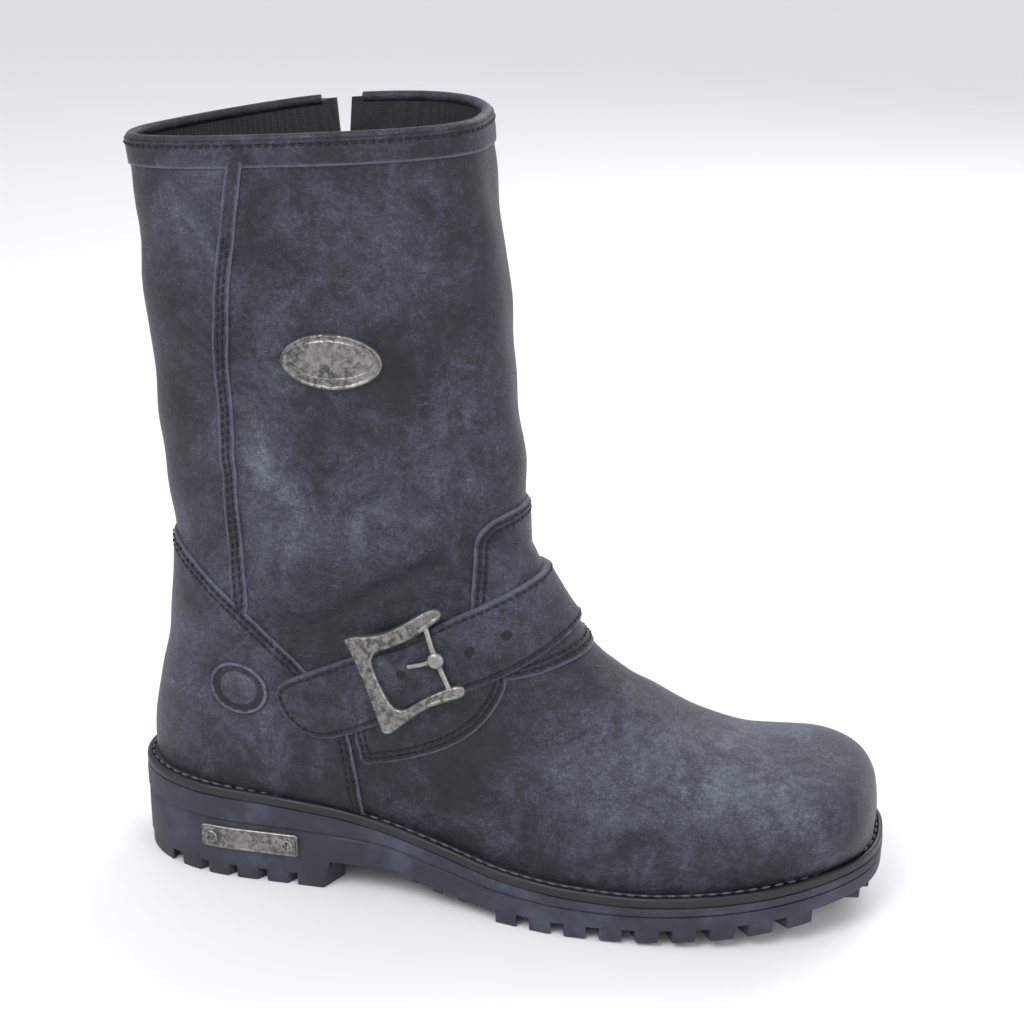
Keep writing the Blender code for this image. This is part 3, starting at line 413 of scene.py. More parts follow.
def cutSheet(name, region, highFace, lowFace, shade=None, wraps=True, lined=False):
    # a closed solid over the grid's cells where region is positive, its rim drawn onto region = 0
    field = region.copy()
    rows, columns = field.shape
    high, low = highFace.copy(), lowFace.copy()
    moved = np.zeros(field.shape, bool)
    target = np.zeros(field.shape + (3,))
    best = np.full(field.shape, 2.0)
    for axis in (0, 1):
        a = [slice(None)] * 2
        b = [slice(None)] * 2
        a[axis], b[axis] = slice(0, -1), slice(1, None)
        a, b = tuple(a), tuple(b)
        fa, fb = field[a], field[b]
        cross = (fa > 0) != (fb > 0)
        t = np.where(cross, fa / np.where(fa == fb, 1, fa - fb), 0)
        ia, ja = np.nonzero(cross)
        for i, j in zip(ia.tolist(), ja.tolist()):
            share = t[i, j]
            first = (i, j)
            second = (i + 1, j) if axis == 0 else (i, j + 1)
            keep, other = (first, second) if share < 0.5 else (second, first)
            share = min(share, 1 - share)
            if share < best[keep]:
                best[keep] = share
                moved[keep] = True
                target[keep] = (other[0], other[1], share)
    ii, jj = np.nonzero(moved)
    oi, oj = (target[ii, jj, k].astype(int) for k in (0, 1))
    share = target[ii, jj, 2][:, None]
    high[ii, jj] += share * (highFace[oi, oj] - highFace[ii, jj])
    low[ii, jj] += share * (lowFace[oi, oj] - lowFace[ii, jj])
    field[ii, jj] = 0
    index = np.arange(rows * columns).reshape(rows, columns)
    if wraps:
        index[heelIndex:, -1] = index[heelIndex:, 0]  # the back seam is one line
    corners = ((slice(0, -1), slice(0, -1)), (slice(0, -1), slice(1, None)),
               (slice(1, None), slice(1, None)), (slice(1, None), slice(0, -1)))
    cells = np.stack([index[corner] for corner in corners], 2).reshape(-1, 4)
    values = np.stack([field[corner] for corner in corners], 2).reshape(-1, 4)
    whole = (values >= 0).all(1) & (values > 0).any(1)
    partly = (~whole) & ((values >= 0).sum(1) == 3) & (values > 0).any(1)
    faces = cells[whole].tolist()
    faces += [[c for c, value in zip(cell, marks) if value >= 0]
              for cell, marks in zip(cells[partly].tolist(), values[partly].tolist())]
    faces = [face for face in ([c for k, c in enumerate(face) if c != face[k - 1]] for face in faces)
             if len(face) > 2]
    edges = dict.fromkeys((face[k - 1], c) for face in faces for k, c in enumerate(face))
    used = sorted({c for face in faces for c in face})
    number = {c: k for k, c in enumerate(used)}
    count = len(used)
    points = np.vstack([high.reshape(-1, 3)[used], low.reshape(-1, 3)[used]])
    solid = [[number[c] for c in face] for face in faces]
    solid += [[number[c] + count for c in face[::-1]] for face in faces]
    for a, b in edges:
        if (b, a) not in edges:
            solid.append([number[b], number[a], number[a] + count, number[b] + count])
    mesh = bpy.data.meshes.new(name)
    mesh.from_pydata(points.tolist(), [], solid)
    if lined:
        lining = [0] * len(faces) + [1] * len(faces) + [0] * (len(solid) - 2 * len(faces))
        mesh.polygons.foreach_set("material_index", lining)
    for label, values, below in (("edge", np.clip(field, 0, 40), 0), ("shade", shade, 1)):
        if values is not None:
            layer = mesh.attributes.new(label, "FLOAT", "POINT")
            flat = np.asarray(values, float).reshape(-1)[used]
            layer.data.foreach_set("value", np.concatenate([flat, flat * below]))
    bm = bmesh.new()
    bm.from_mesh(mesh)
    bmesh.ops.remove_doubles(bm, verts=bm.verts, dist=0.01 * mm)
    bmesh.ops.dissolve_degenerate(bm, edges=bm.edges, dist=0.005 * mm)
    bmesh.ops.recalc_face_normals(bm, faces=bm.faces)
    bm.to_mesh(mesh)
    bm.free()
    piece = newObject(name, mesh)
    smoothShade(piece, 48)
    return piece


# Outlines in the side view, (x, z) in mm
zipLine = {  # the zip's slot seen from the inner side, in mm
    "topX": -80,
    "lowX": -76,
    "lowZ": 112,
    "collarZ": 328,
    "pastCollar": 345,
    "topHalf": 8.0,
    "lowHalf": 4.6,
    "sliderZ": 292,
    "openFrom": 280,  # the slot widens from here up
    "facing": (10, 103),  # how far the facing reaches round the slot, and its lower end
    "facingHole": (0.4, 111.6),
    "cutBack": (10.6, 90),  # what the counter and the binding leave free
}
outlines = {
    "counter": ((-210, 30), (-52, 24), (-52, 38.5), (-54, 60), (-57, 79), (-66, 92), (-79, 105),
                (-98, 120), (-118, 134), (-134, 145), (-150, 154), (-210, 160)),
    "instep": ((-7, 104), (-7, 160), (-4, 167), (2, 171), (40, 174), (70, 150), (62, 112), (34, 108),
               (14, 103)),
    "patch": ((-50, 60), (-50, 64), (-36, 67), (-15, 74), (-3, 82), (5, 91), (10, 103), (6, 112),
              (-8.5, 113), (-40, 102), (-57, 90), (-54, 76)),
    "seam": ((-97, 345), (-91, 345), (-99, 293), (-105, 261), (-106, 212), (-104, 150), (-101.5, 120),
             (-110, 120), (-111, 150), (-113, 212), (-112, 261), (-106, 293)),
    "strap": ((80, 163), (19, 143), (2, 137), (-27, 123), (-60, 108.5), (-80, 100), (-87, 96), (-89.5, 91),
              (-86, 82), (-79, 76), (-72, 73.5), (-64, 74), (-50, 79.5), (-15, 97.5), (14, 107.5), (34, 119),
              (80, 141)),
}
collarLine = ((-154, 318.2), (-7.5, 328))  # the collar's edge seen from the side


def zipX(z):
    low, top = zipLine["lowZ"], zipLine["collarZ"]
    return zipLine["lowX"] + (zipLine["topX"] - zipLine["lowX"]) * (z - low) / (top - low)


def slotHalf(z):
    start = zipLine["openFrom"]
    share = max(z - start, 0) / (zipLine["collarZ"] - start)
    return zipLine["lowHalf"] + (zipLine["topHalf"] - zipLine["lowHalf"]) * share


def slotOutline(grow, low):
    heights = (low, zipLine["openFrom"], zipLine["pastCollar"])
    left = [(zipX(z) - slotHalf(z) - grow, z) for z in heights]
    return left + [(zipX(z) + slotHalf(z) + grow, z) for z in heights[::-1]]


def belowCollar():  # distance below the collar's edge
    (x0, z0), (x1, z1) = collarLine
    rise = collarRise(gridY * mm, gridZ * mm) / mm
    return z0 + (gridX - x0) * (z1 - z0) / (x1 - x0) + rise - gridZ


def both(*fields):
    return np.minimum.reduce(fields)


farInside = 40.0  # a distance that leaves the other limits to decide


def exceptZip(outline):  # everywhere but in an outline on the inner side
    return np.where(gridY > 5, -outline, farInside)


def roundedRegion(name):
    return insideOutline(rounded(outlines[name]))


slotField = both(insideOutline(slotOutline(0, zipLine["lowZ"])), onSide(1))
facingOuter, facingHole, cutBack = (insideOutline(slotOutline(*zipLine[part]))
                                    for part in ("facing", "facingHole", "cutBack"))
besideFacing = exceptZip(cutBack)
bindingWidth = 10.5
strapEnd = -57  # x in mm where the strap ends on the inner side
regions = {
    "upper": exceptZip(slotField),
    "counter": both(roundedRegion("counter"), besideFacing),
    "instep": roundedRegion("instep"),
    "patch": both(roundedRegion("patch"), onSide(-1)),
    "seam": both(roundedRegion("seam"), onSide(-1)),
    "binding": both(bindingWidth - belowCollar(), besideFacing),
    "facing": both(facingOuter, -facingHole, onSide(1)),
    "strap": both(roundedRegion("strap"), np.where(gridY > 0, gridX - strapEnd, farInside)),
}

lightDarkPatches = {  # lighter and darker patches in the leather's colour: x, z, half widths in mm, side, amount
    "shaftBack": (-118, 292, 16, 34, -1, 0.55),
    "shaftMiddle": (-62, 290, 34, 30, -1, 0.6),
    "belowPlaque": (-92, 178, 16, 40, -1, 0.75),
    "shaftLow": (-48, 172, 20, 22, -1, 0.6),
    "shaftFront": (-22, 205, 16, 40, -1, 0.35),
    "besidePlaque": (-30, 232, 14, 16, -1, -0.7),
    "aroundPlaque": (-62, 236, 26, 16, -1, -0.45),
    "shaftFrontTop": (-20, 290, 14, 40, -1, -0.35),
    "counterBack": (-140, 100, 22, 30, -1, 0.35),
    "counterFront": (-92, 84, 22, 22, -1, 0.45),
    "ankle": (-92, 118, 20, 12, -1, -0.5),
    "vamp": (52, 72, 36, 20, -1, 0.9),
    "vampSide": (0, 62, 24, 16, -1, -0.3),
    "instepPanel": (14, 135, 16, 20, -1, 0.5),
    "toeTop": (112, 66, 42, 15, 0, 1.3),
    "toeTip": (152, 46, 12, 16, 0, 0.35),
    "innerShaft": (-60, 220, 40, 60, 1, 0.5),
    "innerHeel": (-120, 90, 30, 30, 1, 0.4),
    "innerVamp": (40, 60, 40, 20, 1, 0.6),
}
shadeForm = {
    "sideFade": 20,  # mm over which a place ends at the boot's middle
    # painted shade along the welt: how dark it is
    "weltShade": 0.9,
    "weltReach": 9,  # mm over the welt that the painted shade reaches
    "foldShade": 90,  # painted highlight on the ridges and painted shade in the troughs, for each metre of height
}


# lighter and darker patches, painted shade along the welt, and painted highlight and shade on the folds
def patchesAndPaintedShade():
    shade = np.zeros(gridX.shape)
    for x, z, reachX, reachZ, side, amount in lightDarkPatches.values():
        near = np.exp(-(((gridX - x) / reachX) ** 2) - ((gridZ - z) / reachZ) ** 2)
        onItsSide = np.clip(0.5 + side * gridY / shadeForm["sideFade"], 0, 1)
        shade += amount * near * (1 if side == 0 else onItsSide)
    aboveWelt = gridZ - np.array([[soleTop(value * mm) / mm for value in row] for row in gridX])
    # painted shade along the welt, darkest just over the sole's top
    shade -= shadeForm["weltShade"] * np.exp(-((np.maximum(aboveWelt, 0) / shadeForm["weltReach"]) ** 2))
    # painted highlight on the folds' ridges, painted shade in their troughs
    return shade + shadeForm["foldShade"] * outerFolds


shade = patchesAndPaintedShade()


def crowned(field, soft, rim):  # share of the thickness: rim at the edge, 1 from soft mm inwards
    return rim + (1 - rim) * np.sqrt(1 - (1 - np.clip(field / soft, 0, 1)) ** 2)


def step01(value, low, high):
    t = np.clip((value - low) / (high - low), 0, 1)
    return t * t * (3 - 2 * t)


cutEdge = (1.6, 0.35)  # a panel's rounded edge: how far in it rounds, in mm, and its height as a share


def overlay(name, low, thickness):  # heights in mm over the leather
    region = regions[name]
    high = lifted((low + thickness * crowned(region, *cutEdge)) * mm)
    underside = lifted(np.full(region.shape, low * mm))
    return cutSheet("leather_" + name, region, high, underside, shade), high


print("leather")
pieces = {}
faces = {"upper": surface["outer"]}
pieces["upper"] = cutSheet("leather_upper", regions["upper"], surface["outer"], surface["inner"], shade,
                           lined=True)
layers = {  # height of the underside and thickness, in mm
    "counter": (-0.3, 1.9),
    "instep": (-0.3, 2.0),
    "patch": (-0.3, 2.0),
    "seam": (-0.3, 1.7),
    "binding": (-0.3, 1.8),
    "facing": (-0.3, 1.8),
    "strap": (1.2, 3.4),
}
for name, (low, thickness) in layers.items():
    pieces[name], faces[name] = overlay(name, low, thickness)


def contourLines(field, level, face, lift):  # lines on a face where the field has a level
    g = field - level
    links = {}
    rows, columns = g.shape

    def crossing(key):
        axis, i, j = key
        k, l = (i + 1, j) if axis == 0 else (i, j + 1)
        t = g[i, j] / (g[i, j] - g[k, l])
        return face[i, j] + t * (face[k, l] - face[i, j]) + lift * surface["normals"][i, j]

    up = g[:-1] * g[1:] < 0
    side = g[:, :-1] * g[:, 1:] < 0
    busy = up[:, :-1] | up[:, 1:] | side[:-1] | side[1:]
    for i, j in zip(*(a.tolist() for a in np.nonzero(busy))):
        keys = [(0, i, j)] * bool(up[i, j]) + [(0, i, j + 1)] * bool(up[i, j + 1])
        keys += [(1, i, j)] * bool(side[i, j]) + [(1, i + 1, j)] * bool(side[i + 1, j])
        if len(keys) == 2:
            links.setdefault(keys[0], []).append(keys[1])
            links.setdefault(keys[1], []).append(keys[0])
    lines = []
    left = set(links)
    starts = sorted(key for key in links if len(links[key]) == 1) + sorted(links)
    for start in starts:
        if start not in left:
            continue
        line = [start]
        left.discard(start)
        while True:
            following = [key for key in links[line[-1]] if key in left]
            if not following:
                break
            line.append(following[0])
            left.discard(following[0])
        if len(line) > 4:
            lines.append([crossing(key) for key in line])
    return lines


def wire(tree, *links):  # each link: node, its output, next node, its input
    for source, outlet, target, inlet in links:
        tree.links.new(source.outputs[outlet], target.inputs[inlet])


def lineTree(name, sizes, build):  # turns lines into shapes: build adds the nodes after the curve
    tree = bpy.data.node_groups.new(name, "GeometryNodeTree")
    sockets = tree.interface
    for direction in ("INPUT", "OUTPUT"):
        sockets.new_socket("Geometry", in_out=direction, socket_type="NodeSocketGeometry")
    for label, value in sizes.items():
        sockets.new_socket(label, in_out="INPUT", socket_type="NodeSocketFloat").default_value = value
    sockets.new_socket("Material", in_out="INPUT", socket_type="NodeSocketMaterial")
    new = tree.nodes.new
    inlet, outlet, curve = new("NodeGroupInput"), new("NodeGroupOutput"), new("GeometryNodeMeshToCurve")
    real, finish = new("GeometryNodeRealizeInstances"), new("GeometryNodeSetMaterial")
    last, result = build(tree, inlet, curve)
    wire(tree, (inlet, "Geometry", curve, "Mesh"), (last, result, real, "Geometry"),
         (real, "Geometry", finish, "Geometry"), (inlet, "Material", finish, "Material"),
         (finish, "Geometry", outlet, "Geometry"))
    return tree


def rowNodes(primitive, settings):  # one small shape after the other along lines
    def build(tree, inlet, curve):
        new = tree.nodes.new
        points, shape = new("GeometryNodeCurveToPoints"), new(primitive)
        place = new("GeometryNodeInstanceOnPoints")
        turn, size = new("FunctionNodeAlignRotationToVector"), new("ShaderNodeCombineXYZ")
        points.mode, turn.axis = "LENGTH", "X"
        for label, value in settings.items():
            shape.inputs[label].default_value = value
        wire(tree, (curve, "Curve", points, "Curve"), (inlet, "Spacing", points, "Length"),
             (points, "Points", place, "Points"), (points, "Tangent", turn, "Vector"),
             (turn, "Rotation", place, "Rotation"), (shape, "Mesh", place, "Instance"),
             (inlet, "Length", size, "X"), (inlet, "Width", size, "Y"), (inlet, "Height", size, "Z"),
             (size, "Vector", place, "Scale"))
        return place, "Instances"
    return build


def cordNodes(tree, inlet, curve):  # a round cord along lines
    section = tree.nodes.new("GeometryNodeCurvePrimitiveCircle")
    section.inputs["Resolution"].default_value = 12
    sweep = tree.nodes.new("GeometryNodeCurveToMesh")
    sweep.inputs["Fill Caps"].default_value = True
    wire(tree, (curve, "Curve", sweep, "Curve"), (inlet, "Radius", section, "Radius"),
         (section, "Curve", sweep, "Profile Curve"))
    return sweep, "Mesh"


rowSizes = {"Spacing": 3.1 * mm, "Length": 2.3 * mm, "Width": 0.75 * mm, "Height": 0.5 * mm}
beadShape = {"Segments": 8, "Rings": 6, "Radius": 0.5}
stitchRow = lineTree("stitchRow", rowSizes, rowNodes("GeometryNodeMeshUVSphere", beadShape))
toothRow = lineTree("toothRow", rowSizes, rowNodes("GeometryNodeMeshCube", {}))
cordRow = lineTree("cordRow", {"Radius": 1.5 * mm}, cordNodes)


def makePlain(piece):  # the modifiers' result as a plain mesh
    graph = bpy.context.evaluated_depsgraph_get()
    mesh = bpy.data.meshes.new_from_object(piece.evaluated_get(graph))
    piece.modifiers.clear()
    piece.data = mesh


def runTree(piece, tree, values):
    modifier = piece.modifiers.new("nodes", "NODES")
    modifier.node_group = tree
    for item in tree.interface.items_tree:
        if item.in_out == "INPUT" and item.name in values:
            modifier[item.identifier] = values[item.name]
    makePlain(piece)
    smoothShade(piece)
    return piece


def addLines(name, lines, tree, sizes, look, closed=False):  # lines dressed by a tree, sizes in mm
    values = {label: value * mm for label, value in sizes.items()}
    return runTree(lineObject(name, lines, closed), tree, {**values, "Material": looks[look]})


def lineObject(name, lines, closed=False):
    points, links = [], []
    for line in lines:
        start = len(points)
        points += [tuple(p) for p in line]
        links += [(start + k, start + k + 1) for k in range(len(line) - 1)]
        if closed:
            links.append((len(points) - 1, start))
    mesh = bpy.data.meshes.new(name)
    mesh.from_pydata(points, links, [])
    return newObject(name, mesh)


# Sole, welt and insole
soleForm = {
    "lugHeight": 5.5 * mm,
    "archHeight": 13 * mm,
    "breast": -0.212,  # heel breast, as a share of the length
    "flatTo": 0.06,  # the tread lies flat as far as this share
    "samples": 380,
    "archFrom": -0.14,
    "archTo": -0.05,
    "archShare": 0.6,
    "heelLine": (-0.32, -0.22),  # where the side's grooves begin to rise to the arch
    "heelLineShare": 0.7,
    "foreFrom": 0.02,  # the forefoot's lugs reach their full height here
}


def spring(x):
    share = max(x / bootForm["length"] - soleForm["flatTo"], 0) / (0.5 - soleForm["flatTo"])
    return bootForm["toeSpring"] * share**2


def treadBase(x):
    share = x / bootForm["length"]
    lug, arch = soleForm["lugHeight"], soleForm["archHeight"]
    if share <= soleForm["breast"]:
        return lug
    marks = [soleForm[mark] for mark in ("breast", "archFrom", "archTo", "foreFrom")]
    return float(smoothCurve(share, marks, (arch, arch, soleForm["archShare"] * arch, lug))) + spring(x)


def planLoop(inset):  # once round the sole: toe tip, lateral side, heel, medial side
    turn = np.linspace(0, 2 * math.pi, soleForm["samples"], endpoint=False)
    along = 0.5 + 0.5 * np.cos(turn)
    lateral, medial = planHalves(along, inset)
    y = np.where(np.sin(turn) >= 0, -lateral, medial) + toeSwing(along)
    return np.stack([planX(along, inset), y], 1)


def joinRings(bm, a, b):
    for j in range(len(a)):
        after = (j + 1) % len(a)
        bm.faces.new((a[j], a[after], b[after], b[j]))


def meshFrom(name, bm):
    bmesh.ops.recalc_face_normals(bm, faces=bm.faces)
    mesh = bpy.data.meshes.new(name)
    bm.to_mesh(mesh)
    bm.free()
    return newObject(name, mesh)


def ringBody(name, rings, closeRing=False, caps=False):
    bm = bmesh.new()
    verts = [[bm.verts.new(p) for p in ring] for ring in rings]
    count = len(rings[0])
    for a, b in list(zip(verts[:-1], verts[1:])) + ([(verts[-1], verts[0])] if closeRing else []):
        joinRings(bm, a, b)
    if caps:  # strips from one side to the other
        for ring in (verts[0], verts[-1]):
            for j in range(count // 2):
                around = (ring[j], ring[j + 1], ring[(count - j - 1) % count], ring[(count - j) % count])
                face = list(dict.fromkeys(around))
                if len(face) > 2:
                    bm.faces.new(face)
    bmesh.ops.remove_doubles(bm, verts=bm.verts, dist=0.01 * mm)
    piece = meshFrom(name, bm)
    smoothShade(piece, 40)
    return piece


def soleRing(inset, height):  # height: a number over the sole's top, or a function of x
    loop = planLoop(inset)
    if callable(height):
        return [(x, y, height(x)) for x, y in loop.tolist()]
    return [(x, y, float(soleTop(x)) + height) for x, y in loop.tolist()]


def lineBase(x):  # the tread's base without its step at the heel breast
    lug, arch = soleForm["lugHeight"], soleForm["archHeight"]
    heights = (lug, soleForm["heelLineShare"] * arch, arch, soleForm["archShare"] * arch, lug)
    marks = (*soleForm["heelLine"], *(soleForm[mark] for mark in ("archFrom", "archTo", "foreFrom")))
    return float(smoothCurve(x / bootForm["length"], marks, heights)) + spring(x)


def between(share, more=0.0):  # heights between the tread's base and the sole's top
    base = treadBase if share < 0.5 else lineBase
    return lambda x: base(x) + share * (float(soleTop(x)) - base(x)) + more


print("sole")
sideProfile = (  # inset in mm, share of the way up from the tread, mm more
    (3.6, 0.0, 0.0), (1.4, 0.0, 0.0), (0.5, 0.0, 0.5), (0.2, 0.0, 1.6), (0.2, 0.34, 0.0),
    (0.25, 0.60, 0.0), (0.9, 0.63, 0.0), (0.9, 0.66, 0.0), (0.0, 0.69, 0.0), (0.0, 0.90, 0.0),
    (0.3, 1.0, -0.3), (1.0, 1.0, 0.0), (7.0, 1.0, 0.0),
)
slabRings = [soleRing(inset * mm, between(share, more * mm)) for inset, share, more in sideProfile]
outsole = ringBody("rubber_outsole", slabRings, caps=True)

lugForm = {
    # a row of lugs: first, pitch and length as shares of the length, how many, inset and depth in mm,
    # taper to the floor, places left out
    "heel": (0.075, 0.0425, 0.030, 5, 0.6, 13.5, 0.97, ()),
    "front": (0.525, 0.0465, 0.030, 9, 0.6, 12, 0.97, ()),
    "middle": (0.533, 0.0465, 0.022, 9, 15, 8, 0.95, (0, 8)),
    "arch": (0.400, 0.035, 0.012, 3, 3, 11, 0.95, ()),
    "heelEnd": 0.008,  # how much longer the heel's last lug is
    "archHeight": 3 * mm,
    "back": (0.006, 0.06),  # the block at the back of the heel, as shares of the length
    "backInset": 0.6 * mm,
    "backHeight": 7 * mm,
    "toePlaces": (-0.62, -0.3, 0.02, 0.34, 0.66),  # the toe's lugs, across the toe
    "toePitch": 0.25,  # share of the ball width between two whole places
    "toeCurve": (2.0, 11),  # mm that the lugs stay behind the tip: in the middle, and more at the sides
    "toeLug": (3.4 * mm, 17 * mm, 0.6),  # half width, length, narrower at the back
    "root": 1.5 * mm,  # how far a lug runs up into the sole
}


def blockBody(bm, floor, root):
    low, high = ([bm.verts.new(p) for p in ring] for ring in (floor, root))
    joinRings(bm, low, high)
    bm.faces.new(low[::-1])
    bm.faces.new(high)


def lugPoints(shareA, shareB, side, start, depth, taper, height=None):
    corners = []
    outer = np.linspace(shareA, shareB, 4)
    for share, cut in [(s, start) for s in outer] + [(s, start + depth) for s in outer[::-1]]:
        halves = planHalves(share, cut * mm)
        half = max(float(halves[0 if side < 0 else 1]), 0)
        corners.append((float(planX(share, cut * mm)), side * half + float(toeSwing(share))))
    middleX, middleY = (sum(c[k] for c in corners) / len(corners) for k in (0, 1))
    floor, root = [], []
    for x, y in corners:
        low = spring(x) if height is None else treadBase(x) - height
        floor.append((middleX + (x - middleX) * taper, middleY + (y - middleY) * taper, low))
        root.append((x, y, treadBase(x) + lugForm["root"]))
    return floor, root


bm = bmesh.new()
for row in ("heel", "front", "middle", "arch"):
    first, pitch, length, count, start, depth, taper, absent = lugForm[row]
    for k in range(count):
        a = first + pitch * k
        b = a + length + (lugForm["heelEnd"] if row == "heel" and k == count - 1 else 0)
        height = lugForm["archHeight"] if row == "arch" else None
        for side in (-1, 1):
            if k not in absent:
                blockBody(bm, *lugPoints(a, b, side, start, depth, taper, height))
shares = np.linspace(*lugForm["back"], 9)
lateral, medial = planHalves(shares, lugForm["backInset"])
backX = planX(shares, lugForm["backInset"])
outline = list(zip(backX, -lateral)) + list(zip(backX[::-1], medial[::-1]))
blockBody(bm, [(x, y, 0) for x, y in outline], [(x, y, lugForm["backHeight"]) for x, y in outline])
halfWide, long, narrow = lugForm["toeLug"]
behind, curve = lugForm["toeCurve"]
for place in lugForm["toePlaces"]:
    tip = halfLength - (behind + curve * place**2) * mm
    y = place * lugForm["toePitch"] * bootForm["ballWidth"] + float(toeSwing(1))
    shape = [(tip - long, y - narrow * halfWide), (tip - mm, y - halfWide), (tip - mm, y + halfWide),
             (tip - long, y + narrow * halfWide)]
    blockBody(bm, [(px, py, spring(px)) for px, py in shape],
              [(px, py, treadBase(px) + lugForm["root"]) for px, py in shape])
lugs = meshFrom("rubber_lugs", bm)


def baked(piece, kind, values):  # adds a modifier, applies it and leaves a plain mesh
    modifier = piece.modifiers.new(kind.lower(), kind)
    for key, value in values.items():
        setattr(modifier, key, value)
    makePlain(piece)
    return piece


baked(lugs, "BEVEL", {"width": 0.6 * mm, "segments": 2, "limit_method": "ANGLE"})
smoothShade(lugs, 40)

weltProfile = (  # inset in mm, height over the sole's top in mm
    (8.2, 0.0), (0.9, 0.0), (0.3, 0.5), (0.2, 2.2), (0.35, 3.6), (0.9, 4.2), (1.7, 4.45), (2.2, 4.4),
    (2.6, 4.1), (3.4, 4.1), (3.8, 4.5), (4.6, 4.7), (8.2, 4.7),
)
weltRings = [soleRing(inset * mm, height * mm) for inset, height in weltProfile]
welt = ringBody("rubber_welt", weltRings, closeRing=True)
insoleProfile = ((8.2, 0.2), (8.2, 3.4), (8.9, 4.2), (10, 4.3))
insoleRings = [soleRing(inset * mm, height * mm) for inset, height in insoleProfile]
insole = ringBody("fabric_insole", insoleRings, caps=True)


# Camera, light and floor
view = {
    "azimuth": 13.7,
    "elevation": 20.3,
    "distance": 863.7 * mm,
    "aimHeight": 160 * mm,
    "focalPixels": 2065,
    "framePixels": 1024,
    "centre": (503, 525),  # where the aim falls in the frame, in pixels
    "roll": -0.2,
}


def makeCamera():
    a, e = math.radians(view["azimuth"]), math.radians(view["elevation"])
    forward = Vector((-math.sin(a) * math.cos(e), math.cos(a) * math.cos(e), -math.sin(e)))
    right = Vector((math.cos(a), math.sin(a), 0))
    up = right.cross(forward)
    data = bpy.data.cameras.new("camera")
    data.sensor_fit = "HORIZONTAL"
    data.sensor_width = 36
    pixels, (centreX, centreY) = view["framePixels"], view["centre"]
    data.lens = view["focalPixels"] / pixels * data.sensor_width
    data.shift_x = (pixels / 2 - centreX) / pixels
    data.shift_y = (centreY - pixels / 2) / pixels
    data.clip_start = 0.05
    camera = newObject("camera", data)
    r = math.radians(view["roll"])
    across = right * math.cos(r) + up * math.sin(r)
    above = up * math.cos(r) - right * math.sin(r)
    turn = Matrix((across, above, -forward)).transposed().to_4x4()
    place = Vector((0, 0, view["aimHeight"])) - forward * view["distance"]
    camera.matrix_world = Matrix.Translation(place) @ turn
    bpy.context.scene.camera = camera


studio = {
    "sky": (0.93, 0.95, 1.0, 1),
    "skyStrength": 0.85,
    "floor": (0.86, 0.86, 0.87, 1),
    "floorReach": 30.0,
    "lamps": {  # place, aim, size in metres, power in watts
        "keyLight": ((-0.5, -1.1, 1.5), (0, 0, 0.14), (0.9, 0.9), 17),
        "fillLight": ((1.3, -0.9, 0.9), (0, 0, 0.12), (0.8, 1.0), 8),
        "backLight": ((0.5, 1.3, 1.2), (0, 0, 0.15), (1.2, 0.8), 12),
    },
}


def makeStudio():
    world = bpy.data.worlds.new("studio")
    world.use_nodes = True
    sky = world.node_tree.nodes["Background"].inputs
    sky["Color"].default_value = studio["sky"]
    sky["Strength"].default_value = studio["skyStrength"]
    bpy.context.scene.world = world
    for name, (place, aim, size, power) in studio["lamps"].items():
        data = bpy.data.lights.new(name, "AREA")
        data.shape = "RECTANGLE"
        data.size, data.size_y = size
        data.energy = power
        lamp = newObject(name, data)
        lamp.location = place
        lamp.rotation_euler = (Vector(aim) - Vector(place)).to_track_quat("-Z", "Y").to_euler()
    mesh = bpy.data.meshes.new("floor")
    reach = studio["floorReach"]
    corners = [(x * reach, y * reach, 0) for x, y in ((-1, -1), (1, -1), (1, 1), (-1, 1))]
    mesh.from_pydata(corners, [], [(0, 1, 2, 3)])
    floor = newObject("floor", mesh)
    paint = bpy.data.materials.new("paleFloor")
    paint.use_nodes = True
    shader = paint.node_tree.nodes["Principled BSDF"]
    shader.inputs["Base Color"].default_value = studio["floor"]
    shader.inputs["Roughness"].default_value = 0.6
    mesh.materials.append(paint)
    bpy.context.scene.view_settings.view_transform = "Standard"


print("camera and studio")
makeCamera()
makeStudio()


# Finishes
def newMaterial(name, color, roughness, metallic=0.0):
    material = bpy.data.materials.new(name)
    material.use_nodes = True
    shader = material.node_tree.nodes["Principled BSDF"]
    shader.inputs["Base Color"].default_value = (*color, 1)
    shader.inputs["Roughness"].default_value = roughness
    shader.inputs["Metallic"].default_value = metallic
    return material, material.node_tree, shader


